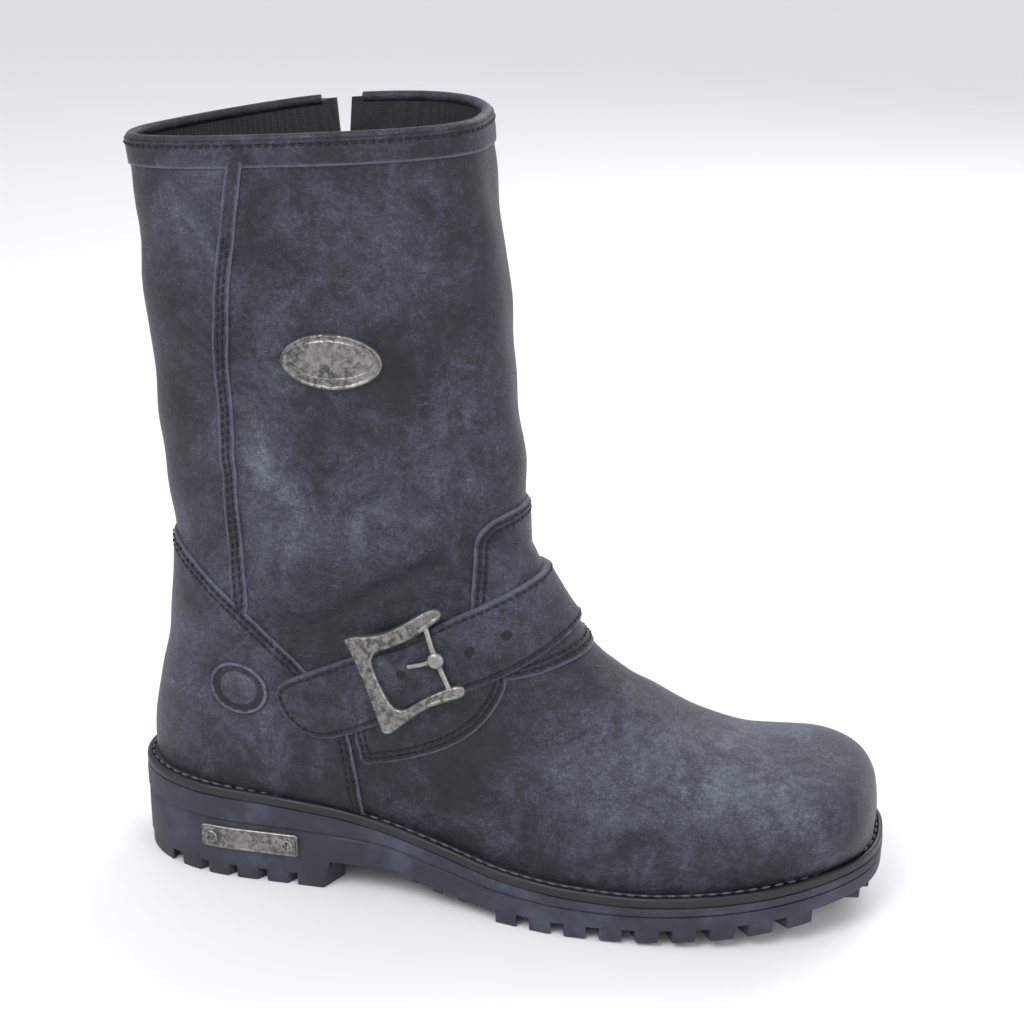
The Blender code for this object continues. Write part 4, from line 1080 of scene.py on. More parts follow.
class Maker:  # short calls for shader nodes
    def __init__(self, tree):
        self.tree = tree
        self.coords = tree.nodes.new("ShaderNodeTexCoord").outputs["Object"]

    def node(self, kind, inputs=(), **values):
        made = self.tree.nodes.new(kind)
        for key, value in values.items():
            setattr(made, key, value)
        for key, value in dict(inputs).items():
            if isinstance(value, bpy.types.NodeSocket):
                self.tree.links.new(value, made.inputs[key])
            else:
                made.inputs[key].default_value = value
        return made

    def placed(self, stretch):
        return self.node("ShaderNodeMapping", {"Vector": self.coords, "Scale": stretch}).outputs[0]

    def noise(self, scale, detail=4, rough=0.55, warp=0.0, stretch=(1, 1, 1)):
        values = {"Vector": self.placed(stretch), "Scale": scale, "Detail": detail, "Roughness": rough,
                  "Distortion": warp}
        return self.node("ShaderNodeTexNoise", values).outputs["Fac"]

    def cells(self, scale, feature="DISTANCE_TO_EDGE", random=1.0):
        values = {"Vector": self.placed((1, 1, 1)), "Scale": scale, "Randomness": random}
        return self.node("ShaderNodeTexVoronoi", values, feature=feature).outputs["Distance"]

    def math(self, kind, a, b=0.0):
        return self.node("ShaderNodeMath", {0: a, 1: b}, operation=kind).outputs[0]

    def times(self, a, b):
        return self.math("MULTIPLY", a, b)

    def inverse(self, a):
        return self.math("SUBTRACT", 1.0, a)

    def ramp(self, value, low, high, to=(0, 1)):
        values = {"Value": value, "From Min": low, "From Max": high, "To Min": to[0], "To Max": to[1]}
        return self.node("ShaderNodeMapRange", values, interpolation_type="SMOOTHSTEP").outputs[0]

    def over(self, color, mask, strength, paint):  # a paint over the color where the mask is 1
        return self.mix(self.times(mask, strength), color, paint)

    def mix(self, share, a, b):
        made = self.node("ShaderNodeMix", data_type="RGBA")
        for socket, value in ((made.inputs[0], share), (made.inputs[6], a), (made.inputs[7], b)):
            if isinstance(value, bpy.types.NodeSocket):
                self.tree.links.new(value, socket)
            else:
                socket.default_value = value if isinstance(value, float) else (*value, 1)
        return made.outputs[2]

    def attribute(self, name):
        return self.node("ShaderNodeAttribute", attribute_name=name).outputs["Fac"]

    def finish(self, shader, color, normal, rough=None):
        for label, value in (("Base Color", color), ("Normal", normal), ("Roughness", rough)):
            if value is not None:
                self.tree.links.new(value, shader.inputs[label])

    def bump(self, height, strength, distance, normal=None):
        inputs = {"Height": height, "Strength": strength, "Distance": distance}
        if normal is not None:
            inputs["Normal"] = normal
        return self.node("ShaderNodeBump", inputs).outputs[0]


leatherFinish = {
    "deep": (0.0045, 0.0050, 0.0070),
    "body": (0.016, 0.0185, 0.027),
    "rubbed": (0.066, 0.075, 0.107),
    "pale": (0.18, 0.195, 0.245),
    "edge": (0.105, 0.115, 0.15),
    "grainSize": 1.1 * mm,
}


def leatherMaterial(name, seams=(), edged=True):  # seams: distances of stitches from the rim, in mm
    finish = leatherFinish
    material, tree, shader = newMaterial(name, finish["body"], 0.45)
    m = Maker(tree)
    cloud = m.noise(17, 6, 0.62, 0.5)
    patch = m.noise(48, 7, 0.72, 0.9, (1, 1, 0.7))
    fine = m.noise(240, 6, 0.75, 0.4)
    speck = m.noise(900, 4, 0.7)
    # noise for wear and uneven tone, plus the 'shade' attribute, which carries painted light and shade
    wearAndShade = m.times(cloud, 0.30)
    for layer, share in ((patch, 0.38), (fine, 0.24), (speck, 0.08), (m.attribute("shade"), 0.1)):
        wearAndShade = m.math("ADD", wearAndShade, m.times(layer, share))
    grain = m.ramp(m.cells(1 / finish["grainSize"]), 0.0, 0.16)
    dust = m.times(m.ramp(speck, 0.52, 0.66), m.ramp(wearAndShade, 0.44, 0.60))
    veins = m.noise(26, 7, 0.7, 1.6, (1, 1, 1.4))
    crease = m.ramp(m.math("ABSOLUTE", m.math("SUBTRACT", veins, 0.5)), 0.0, 0.018)
    scratches = m.ramp(m.noise(110, 9, 0.8, 2.5, (0.5, 1, 3.2)), 0.61, 0.70)
    color = m.mix(m.ramp(wearAndShade, 0.34, 0.53), finish["deep"], finish["body"])
    for mask, strength, paint in (
            (m.ramp(wearAndShade, 0.455, 0.65), 0.9, "rubbed"), (m.ramp(wearAndShade, 0.57, 0.74), 0.7, "pale"),
            (m.inverse(grain), 0.35, "deep"), (dust, 0.2, "pale"), (m.inverse(crease), 0.4, "deep"),
            (scratches, 0.4, "pale")):
        color = m.over(color, mask, strength, finish[paint])
    normal = None
    for height, strength, distance in (
            (m.noise(52, 5, 0.6, 0.8), 0.35, 0.0016), (crease, 0.35, 0.0004),
            (m.noise(210, 5, 0.65, 1.4, (1, 1, 1.8)), 0.5, 0.0007), (grain, 0.5, 0.0003),
            (m.ramp(speck, 0.35, 0.62), 0.18, 0.00012)):
        normal = m.bump(height, strength, distance, normal)
    if edged:
        edge = m.attribute("edge")
        ragged = m.math("ADD", edge, m.times(m.noise(300, 4), 1.6))
        color = m.over(color, m.ramp(ragged, 1.2, 2.2, (1, 0)), 0.6, finish["edge"])
        for seam in seams:
            away = m.math("ABSOLUTE", m.math("SUBTRACT", edge, seam))
            normal = m.bump(m.ramp(away, 0.0, 0.9), 0.7, 0.0006, normal)
            # painted shade along each stitch row's groove
            color = m.over(color, m.ramp(away, 0.2, 1.0, (1, 0)), 0.3, finish["deep"])
    rough = m.ramp(wearAndShade, 0.35, 0.75, (0.31, 0.56))
    rough = m.math("ADD", rough, m.times(m.inverse(grain), 0.14))
    m.finish(shader, color, normal, rough)
    shader.inputs["Coat Weight"].default_value = 0.07
    shader.inputs["Coat Roughness"].default_value = 0.4
    shader.inputs["Specular IOR Level"].default_value = 0.32
    return material


def rubberMaterial(name, color, light, roughness=0.62):
    material, tree, shader = newMaterial(name, color, roughness)
    m = Maker(tree)
    dust = m.noise(45, 6, 0.65, 0.3)
    fine = m.noise(700, 3, 0.5)
    tone = m.mix(m.ramp(dust, 0.42, 0.72), color, light)
    normal = m.bump(fine, 0.18, 0.00012, m.bump(dust, 0.15, 0.0008))
    m.finish(shader, tone, normal, m.ramp(dust, 0.3, 0.7, (roughness - 0.1, roughness + 0.1)))
    return material


def pewterMaterial(name):
    material, tree, shader = newMaterial(name, (0.22, 0.21, 0.2), 0.4, 1.0)
    m = Maker(tree)
    stain = m.noise(420, 6, 0.7, 0.3)
    broad = m.noise(70, 4, 0.6, 0.3)
    tone = m.mix(m.ramp(stain, 0.40, 0.60), (0.085, 0.083, 0.08), (0.25, 0.243, 0.23))
    tone = m.over(tone, m.ramp(broad, 0.45, 0.62), 0.35, (0.34, 0.33, 0.31))
    tone = m.over(tone, m.ramp(m.attribute("edge"), 0.15, 0.9, (1, 0)), 0.35, (0.52, 0.50, 0.47))
    normal = m.bump(m.noise(520, 5, 0.65), 0.4, 0.00025)
    normal = m.bump(m.noise(130, 3, 0.5), 0.25, 0.0005, normal)
    m.finish(shader, tone, normal, m.ramp(stain, 0.35, 0.7, (0.50, 0.32)))
    return material


def clothMaterial(name, color, light, weave=1200):
    material, tree, shader = newMaterial(name, color, 0.85)
    m = Maker(tree)
    thread = m.cells(weave, "F1", 0.25)
    tone = m.mix(m.ramp(thread, 0.2, 0.7), light, color)
    m.finish(shader, tone, m.bump(thread, 0.5, 0.0003))
    return material


print("finishes")
looks = {
    "leather": leatherMaterial("rubbedLeather", (), False),
    "panel": leatherMaterial("rubbedLeatherPanel", (2.3, 4.7)),
    "narrow": leatherMaterial("rubbedLeatherNarrow", (2.3,)),
    "strap": leatherMaterial("rubbedLeatherStrap", (2.4,)),
    "binding": leatherMaterial("rubbedLeatherBinding", (8.6,)),
    "bead": leatherMaterial("rubbedLeatherBead", (), False),
    "sole": rubberMaterial("soleRubber", (0.016, 0.019, 0.030), (0.050, 0.058, 0.085)),
    "welt": rubberMaterial("weltRubber", (0.006, 0.007, 0.010), (0.014, 0.016, 0.022), 0.5),
    "lining": clothMaterial("darkLining", (0.012, 0.012, 0.014), (0.03, 0.03, 0.034), 900),
    "tape": clothMaterial("zipTape", (0.010, 0.010, 0.012), (0.035, 0.035, 0.04), 1400),
    "pewter": pewterMaterial("agedPewter"),
    "thread": clothMaterial("darkThread", (0.006, 0.0065, 0.009), (0.02, 0.022, 0.028), 2500),
    "weltThread": clothMaterial("weltThread", (0.05, 0.055, 0.07), (0.13, 0.14, 0.17), 2500),
    "orange": rubberMaterial("orangeRubber", (0.80, 0.075, 0.03), (0.92, 0.14, 0.06), 0.5),
    "grey": rubberMaterial("greyRubber", (0.19, 0.21, 0.36), (0.28, 0.30, 0.46), 0.5),
    "tooth": newMaterial("zipTeeth", (0.05, 0.05, 0.055), 0.35, 0.6)[0],
    # near black: painted shade for the strap holes
    "hole": newMaterial("strapHoleShade", (0.004, 0.004, 0.005), 0.8)[0],
}


def dress(piece, *names):
    for name in names:
        piece.data.materials.append(looks[name])


dress(pieces["upper"], "leather", "lining")
for look, names in (("panel", ("counter", "instep", "patch")), ("narrow", ("seam", "facing")),
                    ("binding", ("binding",)), ("strap", ("strap",))):
    for name in names:
        dress(pieces[name], look)
for piece, look in ((outsole, "sole"), (lugs, "sole"), (welt, "welt"), (insole, "lining")):
    dress(piece, look)
metalNodes = ("buckle_frame", "buckle_rod", "buckle_stud", "badge_", "heel_plate", "heel_screw",
              "zip_slider", "zip_pull")
for name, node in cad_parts.items():
    if name.startswith(metalNodes):
        look = "pewter"
    elif name.startswith(("insert_lobe", "insert_oval")):
        look = "orange"
    else:
        look = "grey" if name.startswith("insert_") else "tape"
    for slot in node.material_slots:
        slot.material = looks[look]

# Stitches
print("stitches")
seams = {  # distances of the stitch rows from the rim, in mm
    "counter": (2.3, 4.7),
    "instep": (2.3, 4.7),
    "patch": (2.3, 4.7),
    "seam": (2.3,),
    "binding": (8.6,),
    "facing": (2.3, 4.6),
    "strap": (2.4,),
}
stitchSizes = {"Spacing": 3.5, "Length": 2.7, "Width": 0.95, "Height": 0.8}
weltStitchSizes = {"Spacing": 5.6, "Length": 4.2, "Width": 1.1, "Height": 1.0}
for name, distances in seams.items():
    lines = []
    for distance in distances:
        lines += contourLines(regions[name], distance, faces[name], 0.05 * mm)
    label = "stitches_" + name
    pieces[label] = addLines(label, lines, stitchRow, stitchSizes, "thread")
weltLine = [(x, y, float(soleTop(x)) + 4.45 * mm) for x, y in planLoop(3.0 * mm).tolist()]
pieces["stitches_welt"] = addLines("stitches_welt", [weltLine], stitchRow, weltStitchSizes, "weltThread",
                                   closed=True)

# Metal on the leather
print("metal")
gridRows, gridColumns = gridX.shape
outerTree = BVHTree.FromPolygons(surface["outer"].reshape(-1, 3).tolist(), [
    (k, k + 1, k + gridColumns + 1, k + gridColumns)
    for i in range(gridRows - 1) for k in range(i * gridColumns, (i + 1) * gridColumns - 1)])


def sideBed(side, x0, x1, z0, z1, step, smoothing=30):  # a fine smooth grid over the leather, in mm
    xs, zs = np.arange(x0, x1 + step / 2, step), np.arange(z0, z1 + step / 2, step)
    y = np.full((len(zs), len(xs)), np.nan)
    for i, z in enumerate(zs.tolist()):
        for j, x in enumerate(xs.tolist()):
            hit = outerTree.ray_cast(Vector((x * mm, side * 0.2, z * mm)), Vector((0, -side, 0)))
            if hit[0] is not None:
                y[i, j] = hit[0].y
    for order, back in ((range(1, len(zs)), 1), (range(len(zs) - 2, -1, -1), -1)):
        for i in order:  # rays that miss take the height of the row beside
            y[i] = np.where(np.isnan(y[i]), y[i - back], y[i])
    for _ in range(smoothing):
        wide = np.pad(y, 1, mode="reflect", reflect_type="odd")
        y = (wide[1:-1, 1:-1] * 2 + wide[:-2, 1:-1] + wide[2:, 1:-1] + wide[1:-1, :-2] + wide[1:-1, 2:]) / 6
    slopeZ, slopeX = np.gradient(y, step * mm)
    normals = np.stack([-slopeX, np.ones_like(y), -slopeZ], 2) * side
    normals /= np.linalg.norm(normals, axis=2)[..., None]
    x, z = np.meshgrid(xs, zs)
    return {"x": x, "z": z, "points": np.stack([x * mm, y, z * mm], 2), "normals": normals}


def onBed(bed, height):  # height in mm, one number or one for each point
    return bed["points"] + np.asarray(height)[..., None] * mm * bed["normals"]


def bedPoint(bed, x, z, height):
    far = np.hypot(bed["x"] - x, bed["z"] - z)
    i, j = np.unravel_index(np.argmin(far), far.shape)
    place, normal = bed["points"][i, j], bed["normals"][i, j]
    return Vector((place + height * mm * normal).tolist()), Vector(normal.tolist())


def turned(count):
    return [2 * math.pi * k / count for k in range(count)]


def plateOn(name, bed, field, low, top, look):
    underside = onBed(bed, np.full(field.shape, low))
    pieces[name] = cutSheet(name, field, onBed(bed, top), underside, wraps=False)
    dress(pieces[name], look)


def ovalBed(form, step, smoothing):
    (x, z), (halfX, halfZ) = form["centre"], form["half"]
    bed = sideBed(-1, x - halfX - 1, x + halfX + 1, z - halfZ - 1, z + halfZ + 1, step, smoothing)
    return bed, (bed["x"] - x) / halfX, (bed["z"] - z) / halfZ


def knob(name, centre, normal, profile, look):  # rings of radius and rise in mm
    across = normal.cross(Vector((0, 0, 1))).normalized()
    upward = across.cross(normal).normalized()
    spokes = [across * math.cos(t) + upward * math.sin(t) for t in turned(28)]
    rings = [[tuple(centre + normal * (rise * mm) + spoke * (radius * mm)) for spoke in spokes]
             for radius, rise in profile]
    pieces[name] = ringBody(name, rings, caps=True)
    dress(pieces[name], look)


def wires(name, lines, radius, look):  # round wire along lines, radius in mm
    pieces[name] = addLines(name, lines, cordRow, {"Radius": radius}, look)
    smoothShade(pieces[name], 50)


buckleForm = {
    "outline": ((-57.5, 119.5), (-54, 121.8), (-47, 122.3), (-40, 124.2), (-31, 129), (-22.5, 134.2),
                (-18.6, 132.6), (-18.5, 129.5), (-21.5, 127), (-24.5, 124.6), (-36, 118.4), (-47, 113),
                (-41.5, 101), (-33.5, 90), (-23, 97.2), (-12.5, 103), (-8.2, 104), (-6.4, 102), (-7, 99),
                (-14, 96.2), (-22, 93), (-28, 88.5), (-33.5, 83.5), (-37, 80.6), (-40, 81.2), (-40.8, 84),
                (-45.5, 95.5), (-50.5, 106), (-56, 115), (-58, 117.8)),
    "low": 4.8,
    "thickness": 2.9,
    "channel": 0.45,
    "bed": (-60, -4, 78, 137, 0.45),  # x from and to, z from and to, step
    "rod": ((-24.6, 127.0), (-20.9, 119.0), (-17.4, 111.5), (-12.6, 101.0)),
    "rodHeight": 6.3,
    "rodRadius": 1.25,
    "stud": (-18.8, 114, 6.0),  # x, z and height over the leather
    "studProfile": ((2.0, 0.0), (2.5, 0.8), (3.3, 1.3), (3.5, 2.0), (3.1, 2.7), (2.2, 3.1), (1.2, 3.3),
                    (0.5, 3.3)),
    "pin": ((-25, 111.5, 6.2), (-30.5, 109.5, 5.2)),
    "pinRise": 1.2,  # where the pin starts in the stud
    "pinRadius": 1.15,
    "holes": ((6.5, 121.2), (-6.5, 116.0), (-33.5, 105.5)),
    "holeRadius": 1.9,
    "holeHeights": (4.3, 4.75),
}
buckleBed = sideBed(-1, *buckleForm["bed"])
field = insideOutline(rounded(buckleForm["outline"], 2), buckleBed["x"], buckleBed["z"])
top = buckleForm["low"] + buckleForm["thickness"] * crowned(field, 1.3, 0.4)
top = top - buckleForm["channel"] * step01(field, 1.0, 1.7)
plateOn("metal_buckle", buckleBed, field, buckleForm["low"] - 0.4, top, "pewter")
rodLine = [bedPoint(buckleBed, x, z, buckleForm["rodHeight"])[0] for x, z in buckleForm["rod"]]
wires("metal_rod", [rodLine], buckleForm["rodRadius"], "pewter")
studPlace, studNormal = bedPoint(buckleBed, *buckleForm["stud"])
knob("metal_stud", studPlace, studNormal, buckleForm["studProfile"], "pewter")
pinLine = [studPlace + studNormal * buckleForm["pinRise"] * mm]
pinLine += [bedPoint(buckleBed, *at)[0] for at in buckleForm["pin"]]
wires("metal_pin", [pinLine], buckleForm["pinRadius"], "pewter")
# each strap hole is a dark disc on the strap: painted shade standing in for the hole's depth
holeLow, holeTop = buckleForm["holeHeights"]
for k, (x, z) in enumerate(buckleForm["holes"]):
    bed = sideBed(-1, x - 4, x + 4, z - 4, z + 4, 0.25)
    field = buckleForm["holeRadius"] - np.hypot(bed["x"] - x, bed["z"] - z)
    plateOn("strap_hole_%d" % k, bed, field, holeLow, np.full(field.shape, holeTop), "hole")

# Plain oval plaque with a raised rim and a plain inner oval
plaqueForm = {"centre": (-62, 236), "half": (21, 11.5), "low": 0.1, "thickness": 1.5, "rim": 0.55}
plaqueBed, u, v = ovalBed(plaqueForm, 0.3, 120)
a, b = plaqueForm["half"]
turn = np.arctan2(v, u)
field = (1 - np.hypot(u, v)) * a * b / np.maximum(np.hypot(b * np.cos(turn), a * np.sin(turn)), 1e-6)
top = plaqueForm["low"] + plaqueForm["thickness"] * crowned(field, 0.7, 0.3)
top = top + plaqueForm["rim"] * (step01(field, 0.1, 0.5) - step01(field, 1.2, 1.7))
top = top + 0.45 * step01(field, 2.6, 3.4) - 0.25 * step01(field, 4.4, 5.0)
plateOn("metal_plaque", plaqueBed, field, plaqueForm["low"] - 0.3, top, "pewter")

# Plain oval ring pressed into the heel counter
emblemForm = {"centre": (-107, 90), "half": (14.5, 12), "low": 1.6, "rise": 0.9}
emblemBed, u, v = ovalBed(emblemForm, 0.3, 40)
field = (1 - np.hypot(u, v)) * 0.5 * sum(emblemForm["half"])
relief = step01(field, 0.0, 1.2) - step01(field, 1.8, 2.6) * 0.75 + 0.5 * step01(field, 4.6, 5.6)
top = emblemForm["low"] + emblemForm["rise"] * relief
underside = onBed(emblemBed, np.full(field.shape, emblemForm["low"] - 0.8))
# painted shade in the ring's recesses and painted light on its raised parts
tone = 2.6 * (relief - 0.45)
pieces["emblem"] = cutSheet("leather_emblem", field, onBed(emblemBed, top), underside, tone, wraps=False)
dress(pieces["emblem"], "bead")

# Zip: teeth, slider and pull tab
zipForm = {  # in mm
    "bed": (-92, -64, 106, 337, 0.7, 20),  # x from and to, z from and to, step, smoothing
    "sliderBed": (-88, -71, 282, 302, 0.35, 60),
    "tooth": {"Spacing": 2.3, "Length": 1.0, "Width": 1.5, "Height": 3.0},
    "sink": -0.9,  # how deep the teeth lie in the slot
    "end": 326,
    "closedHalf": 0.75,  # a closed row's distance from the zip's middle
    "clearOfSlider": 4,
    "spread": (1.0, 4.6),  # an open row's distance from the middle at the slider, and how much it grows
    "hinge": (-79.333, 52.262, 285.5),  # the pull tab's hinge
    "shield": ((-3.0, -6.2), (3.0, -6.2), (3.8, -2), (4.4, 2), (3.6, 6.2), (1.2, 6.9), (-1.2, 6.9),
               (-3.6, 6.2), (-4.4, 2), (-3.8, -2)),  # the slider's outline
    "sliderHeights": (0.2, 2.2),  # its rim's height over the leather and its thickness
    "foot": (2.9, -4.4, 1.4),  # foot of an ear: across, along and height
    "ear": 3.15,  # places along the hinge, from its middle
    "stub": (2.5, 3.6),
    "knuckle": 2.3,
    "wireRadius": 0.55,
    "knuckleRadius": 0.95,
    "bridge": ((4.6, 1.5), (4.4, 2.5), (3.4, 2.95), (1.5, 3.05), (-1.5, 3.0), (-3.2, 2.8), (-4.1, 2.2),
               (-4.2, 1.5)),  # place along the slider and height
}
zipBed = sideBed(1, *zipForm["bed"])
sliderZ, pitch = zipLine["sliderZ"], zipForm["tooth"]["Spacing"]
(spreadStart, spreadMore), clear = zipForm["spread"], zipForm["clearOfSlider"]
teethLines = []
for closed in (True, False):
    for side in (-1, 1):
        firstZ = zipLine["lowZ"] + 1.5 + (0.5 * pitch if side > 0 else 0)
        z, end = (firstZ, sliderZ - clear) if closed else (sliderZ + clear, zipForm["end"])
        line = []
        while z < end:
            apart = spreadStart + spreadMore * (z - sliderZ) / (zipForm["end"] - sliderZ)
            away = zipForm["closedHalf"] if closed else apart
            line.append(bedPoint(zipBed, zipX(z) + side * away, z, zipForm["sink"])[0])
            z += pitch
        teethLines.append(line)
pieces["zip_teeth"] = addLines("zip_teeth", teethLines, toothRow, zipForm["tooth"], "tooth")
baked(pieces["zip_teeth"], "BEVEL", {"width": 0.22 * mm, "segments": 2})
sliderBed = sideBed(1, *zipForm["sliderBed"])
sliderX = zipX(sliderZ)
shield = [(sliderX + dx, sliderZ + dz) for dx, dz in zipForm["shield"]]
field = insideOutline(rounded(shield, 2), sliderBed["x"], sliderBed["z"])
sliderLow, sliderThick = zipForm["sliderHeights"]
top = sliderLow + sliderThick * crowned(field, 1.0, 0.4) - 0.3 * step01(field, 1.1, 1.6)
plateOn("metal_slider", sliderBed, field, -sliderLow, top, "pewter")
hinge = Vector(zipForm["hinge"]) * mm


def onHinge(away):  # a point on the hinge's axis, in mm from its middle
    return hinge + Vector((away * mm, 0, 0))


bridgeLines = [[bedPoint(sliderBed, sliderX, sliderZ + dz, rise)[0] for dz, rise in zipForm["bridge"]]]
across, along, footRise = zipForm["foot"]
for side in (-1, 1):
    foot = bedPoint(sliderBed, sliderX + side * across, sliderZ + along, footRise)[0]
    bridgeLines.append([foot, onHinge(side * zipForm["ear"])])
    bridgeLines.append([onHinge(side * away) for away in zipForm["stub"]])
wires("metal_bridge", bridgeLines, zipForm["wireRadius"], "pewter")

# Pull tab, hanging as the CAD tab does
pullForm = {
    "length": 22,
    "width": 9,
    "thickness": 1.3,
    "outline": ((-2.2, 0), (2.2, 0), (3.2, 6), (4.5, 10), (4.5, 20.5), (3, 22), (-3, 22), (-4.5, 20.5),
                (-4.5, 10), (-3.2, 6)),
    "opening": ((-2.2, 8.5), (2.2, 8.5), (2.2, 18), (-2.2, 18)),
    "eye": ((-1.5, 1.4), (1.5, 1.4), (1.5, 4.4), (-1.5, 4.4)),
}
hingeX, _, hingeZ = zipForm["hinge"]
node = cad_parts["zip_pull"]
corners = np.array([node.matrix_world @ v.co for v in node.data.vertices]) / mm
topY = corners[corners[:, 2] > hingeZ - 4][:, 1].mean()
lowY = corners[corners[:, 2] < hingeZ - pullForm["length"] + 4][:, 1].mean()
reach, step = 0.6, 0.3
u, v = np.meshgrid(np.arange(-pullForm["width"] / 2 - reach, pullForm["width"] / 2 + reach + 0.01, step),
                   np.arange(-reach, pullForm["length"] + reach + 0.01, step))
middleY = topY + (lowY - topY) * v / pullForm["length"]
pullBed = {"x": u, "z": v, "points": np.stack([(hingeX + u) * mm, middleY * mm, (hingeZ - v) * mm], 2),
           "normals": np.broadcast_to((0.0, 1.0, 0.0), u.shape + (3,))}
tab = insideOutline(rounded(pullForm["outline"], 2), u, v)
opening, eye = (insideOutline(rounded(pullForm[part], 1), u, v) for part in ("opening", "eye"))
field = both(tab, -opening, -eye)
rise = 0.5 * pullForm["thickness"] * crowned(field, 0.5, 0.3)
front, back = onBed(pullBed, rise), onBed(pullBed, -rise)
pieces["metal_pull"] = cutSheet("metal_pull", field, front, back, wraps=False)
dress(pieces["metal_pull"], "pewter")
knuckleLine = [onHinge(side * zipForm["knuckle"]) for side in (-1, 1)]
wires("metal_knuckle", [knuckleLine], zipForm["knuckleRadius"], "pewter")

# Heel plate with its screws
plateForm = {
    "shares": (0.116, 0.252),  # along the sole
    "heights": (15, 25.5),
    "low": 0.3,
    "thickness": 1.5,
    "screwShares": (0.131, 0.237),
    "screwRadius": 2.8,
    "crossHalf": (0.42, 1.75),  # the screw's cross: half width and reach
}
(first, last), (low, high), step = plateForm["shares"], plateForm["heights"], 0.27
shares = np.linspace(first - 0.003, last + 0.003, 170)
plateX, plateY = planX(shares, 0.0), toeSwing(shares) - planHalves(shares, 0.0)[0]
x, z = np.meshgrid(plateX / mm, np.arange(low - 0.6, high + 0.61, step))
slope = np.broadcast_to(np.gradient(plateY, plateX), x.shape)
normals = np.stack([slope, np.full(x.shape, -1.0), np.zeros(x.shape)], 2)
plateBed = {"x": x, "z": z, "points": np.stack([x * mm, np.broadcast_to(plateY, x.shape), z * mm], 2),
            "normals": normals / np.linalg.norm(normals, axis=2)[..., None]}
left, right = (float(planX(share, 0)) / mm for share in plateForm["shares"])
chamfered = np.array([(left + 1, low), (right - 1, low), (right, low + 1), (right, high - 1),
                      (right - 1, high), (left + 1, high), (left, high - 1), (left, low + 1)])
field = insideOutline(chamfered, x, z)
plateLow, plateTop = plateForm["low"], plateForm["low"] + plateForm["thickness"]
top = plateLow + plateForm["thickness"] * crowned(field, 0.5, 0.4) - 0.35 * step01(field, 0.8, 1.1)
crossHalf, crossReach = plateForm["crossHalf"]
for k, share in enumerate(plateForm["screwShares"]):
    dx, dz = x - float(planX(share, 0)) / mm, z - 0.5 * (low + high)
    away = np.hypot(dx, dz)
    top = top + 0.35 * step01(away, 3.6, 3.2)
    head = plateForm["screwRadius"] - away
    cosine, sine = math.cos(0.5 + k), math.sin(0.5 + k)
    u, v = dx * cosine + dz * sine, dz * cosine - dx * sine
    cross = np.minimum(crossHalf - np.minimum(np.abs(u), np.abs(v)), crossReach - away)
    dome = plateTop + 1.1 * crowned(head, 2.4, 0.35) - 0.8 * step01(cross, -0.1, 0.1)
    plateOn("metal_screw_%d" % k, plateBed, head, plateTop - 0.3, dome, "pewter")
plateOn("metal_plate", plateBed, field, plateLow - 0.5, top, "pewter")

# Inserts in the tread
insertForm = {
    "lobes": ((0.322, 0.064), (0.263, -0.112), (0.238, 0.124), (0.178, -0.176), (0.154, 0.071),
              (0.099, -0.195), (0.075, 0.026), (0.019, -0.109), (-0.287, -0.037), (-0.358, -0.030)),
    "oval": (-0.088, -0.041),
    "dots": ((-0.037, 0.056), (-0.025, -0.198), (-0.137, 0.146), (-0.119, -0.206)),
    "bars": ((-0.335, 0.082, 20, 2.3), (-0.335, -0.166, 20, 2.3), (-0.410, -0.028, 2.5, 7)),
    "lobeSizes": (8.5,) * 8 + (7.5,) * 2,
    "lobeForm": (0.78, 0.22, 0.6),  # mean radius, depth of the lobes, turn from one insert to the next
    "barRound": 0.8,
    "ovalHalf": (15, 13),
    "dotRadius": 3.6,
    "proud": 2.2 * mm,
    # scale of the outline and share of the height
    "profile": ((1.0, 0.3), (1.0, 0.8), (0.97, 0.95), (0.9, 1.0), (0.3, 1.0)),
    "dotProfile": ((1.0, 0.3), (1.0, 0.85), (0.92, 1.0), (0.66, 1.0), (0.58, 0.7), (0.5, 0.62), (0.4, 0.62),
                   (0.3, 0.9), (0.1, 0.95)),
}


def addInsert(name, at, outline, look, profile="profile"):
    x0, y0 = at[0] * bootForm["length"], at[1] * bootForm["ballWidth"]
    rings = []
    for scale, share in insertForm[profile]:
        ring = [(x0 + scale * dx * mm, y0 + scale * dy * mm) for dx, dy in outline]
        rings.append([(px, py, treadBase(px) - share * insertForm["proud"]) for px, py in ring])
    rings.insert(0, [(px, py, pz + 1.2 * mm) for px, py, pz in rings[0]])
    insertPieces[name] = ringBody("rubber_" + name, rings, caps=True)
    dress(insertPieces[name], look)


def ovalOutline(halfX, halfY, count):
    return [(halfX * math.cos(t), halfY * math.sin(t)) for t in turned(count)]


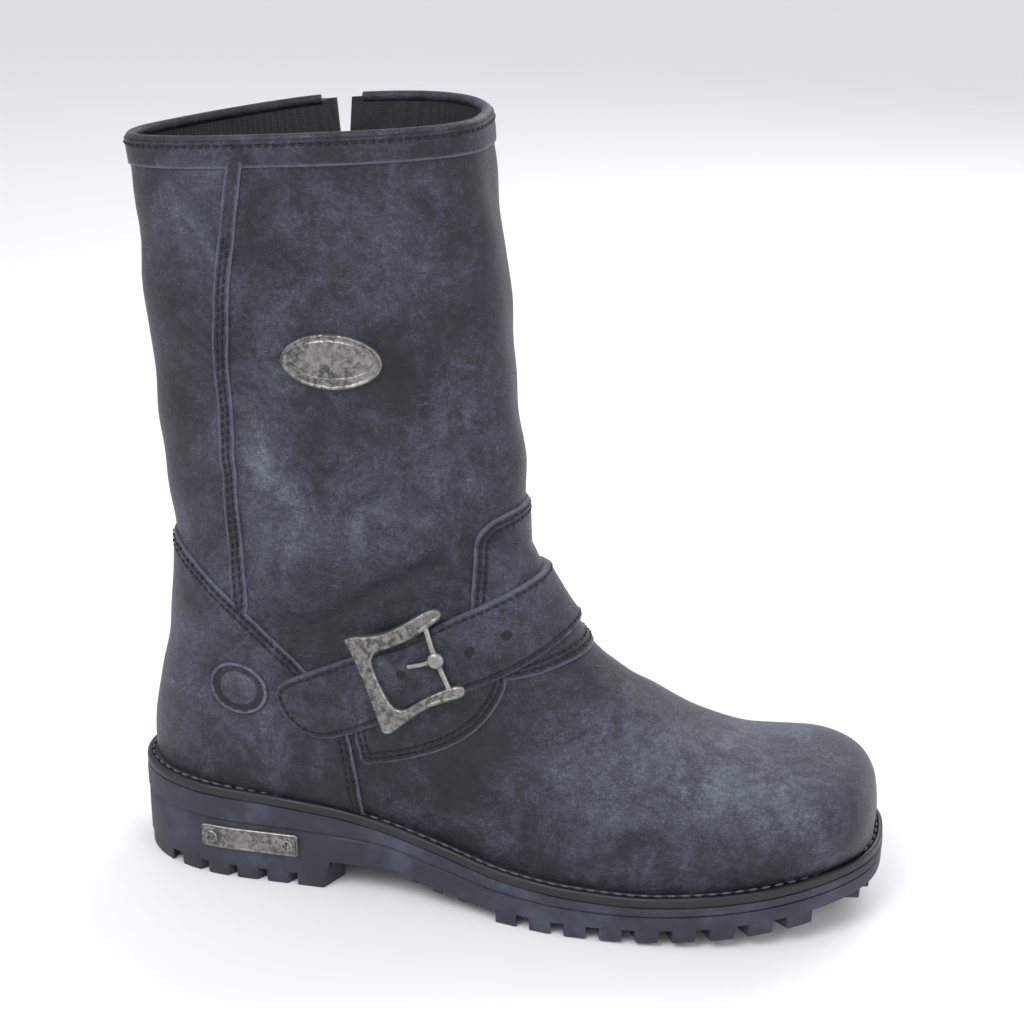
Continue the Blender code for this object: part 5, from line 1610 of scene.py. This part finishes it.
insertPieces = {}
mean, depth, turn = insertForm["lobeForm"]
for k, (at, size) in enumerate(zip(insertForm["lobes"], insertForm["lobeSizes"])):
    radii = [(size * (mean + depth * math.cos(3 * t)), t + turn * k) for t in turned(48)]
    outline = [(radius * math.cos(t), radius * math.sin(t)) for radius, t in radii]
    addInsert("insert_lobe_%02d" % (k + 1), at, outline, "orange")
addInsert("insert_oval", insertForm["oval"], ovalOutline(*insertForm["ovalHalf"], 64), "orange")
dotRadius = insertForm["dotRadius"]
for k, at in enumerate(insertForm["dots"]):
    addInsert("insert_dot_%d" % (k + 1), at, ovalOutline(dotRadius, dotRadius, 32), "grey", "dotProfile")
for k, (*at, halfX, halfY) in enumerate(insertForm["bars"]):
    corner = insertForm["barRound"] * min(halfX, halfY)
    bar = []
    for quarter, (signX, signY) in enumerate(((1, 1), (-1, 1), (-1, -1), (1, -1))):
        for t in [math.pi / 2 * (quarter + q / 5) for q in range(6)]:
            bar.append((signX * (halfX - corner) + corner * math.cos(t),
                        signY * (halfY - corner) + corner * math.sin(t)))
    addInsert("insert_bar_%d" % (k + 1), at, bar, "grey")

# Bead along the collar
beadForm = {"radius": 2.3, "slotZ": 330, "clear": 0.6, "gap": 8 * mm}
rim = 0.5 * (surface["outer"][-1] + surface["inner"][-1])
slotX, slotReach = zipX(beadForm["slotZ"]), zipLine["topHalf"] + beadForm["clear"]
beadLine = [tuple(p) for p in rim if p[1] < 5 * mm or abs(p[0] / mm - slotX) > slotReach]
collarRows = [[beadLine[0]]]
for before, point in zip(beadLine, beadLine[1:]):
    if math.dist(before, point) > beadForm["gap"]:
        collarRows.append([])
    collarRows[-1].append(point)
pieces["bead"] = addLines("leather_bead", collarRows, cordRow, {"Radius": beadForm["radius"]}, "bead")

# What rides on what
print("riding")
pieces.update({"outsole": outsole, "lugs": lugs, "welt": welt, "insole": insole, **insertPieces})
replaced = {name: name for name in ("upper", "strap", "outsole", "welt", "insole", *insertPieces)}
replaced.update({
    "counter": "heel_counter",
    "instep": "instep_panel",
    "patch": "buckle_patch",
    "seam": "shaft_seam",
    "binding": "collar_binding",
    "facing": "zip_facing",
    "metal_buckle": "buckle_frame",
    "metal_rod": "buckle_rod",
    "metal_stud": "buckle_stud",
    "metal_plaque": "badge_plaque",
    "metal_slider": "zip_slider",
    "metal_plate": "heel_plate",
    "metal_screw_0": "heel_screw_back",
    "metal_screw_1": "heel_screw_front",
    "metal_pull": "zip_pull",
})


for name, piece in pieces.items():
    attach(piece, "zip_pull" if name in ("metal_pull", "metal_knuckle") else "boot")
    if name in replaced:
        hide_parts(replaced[name])
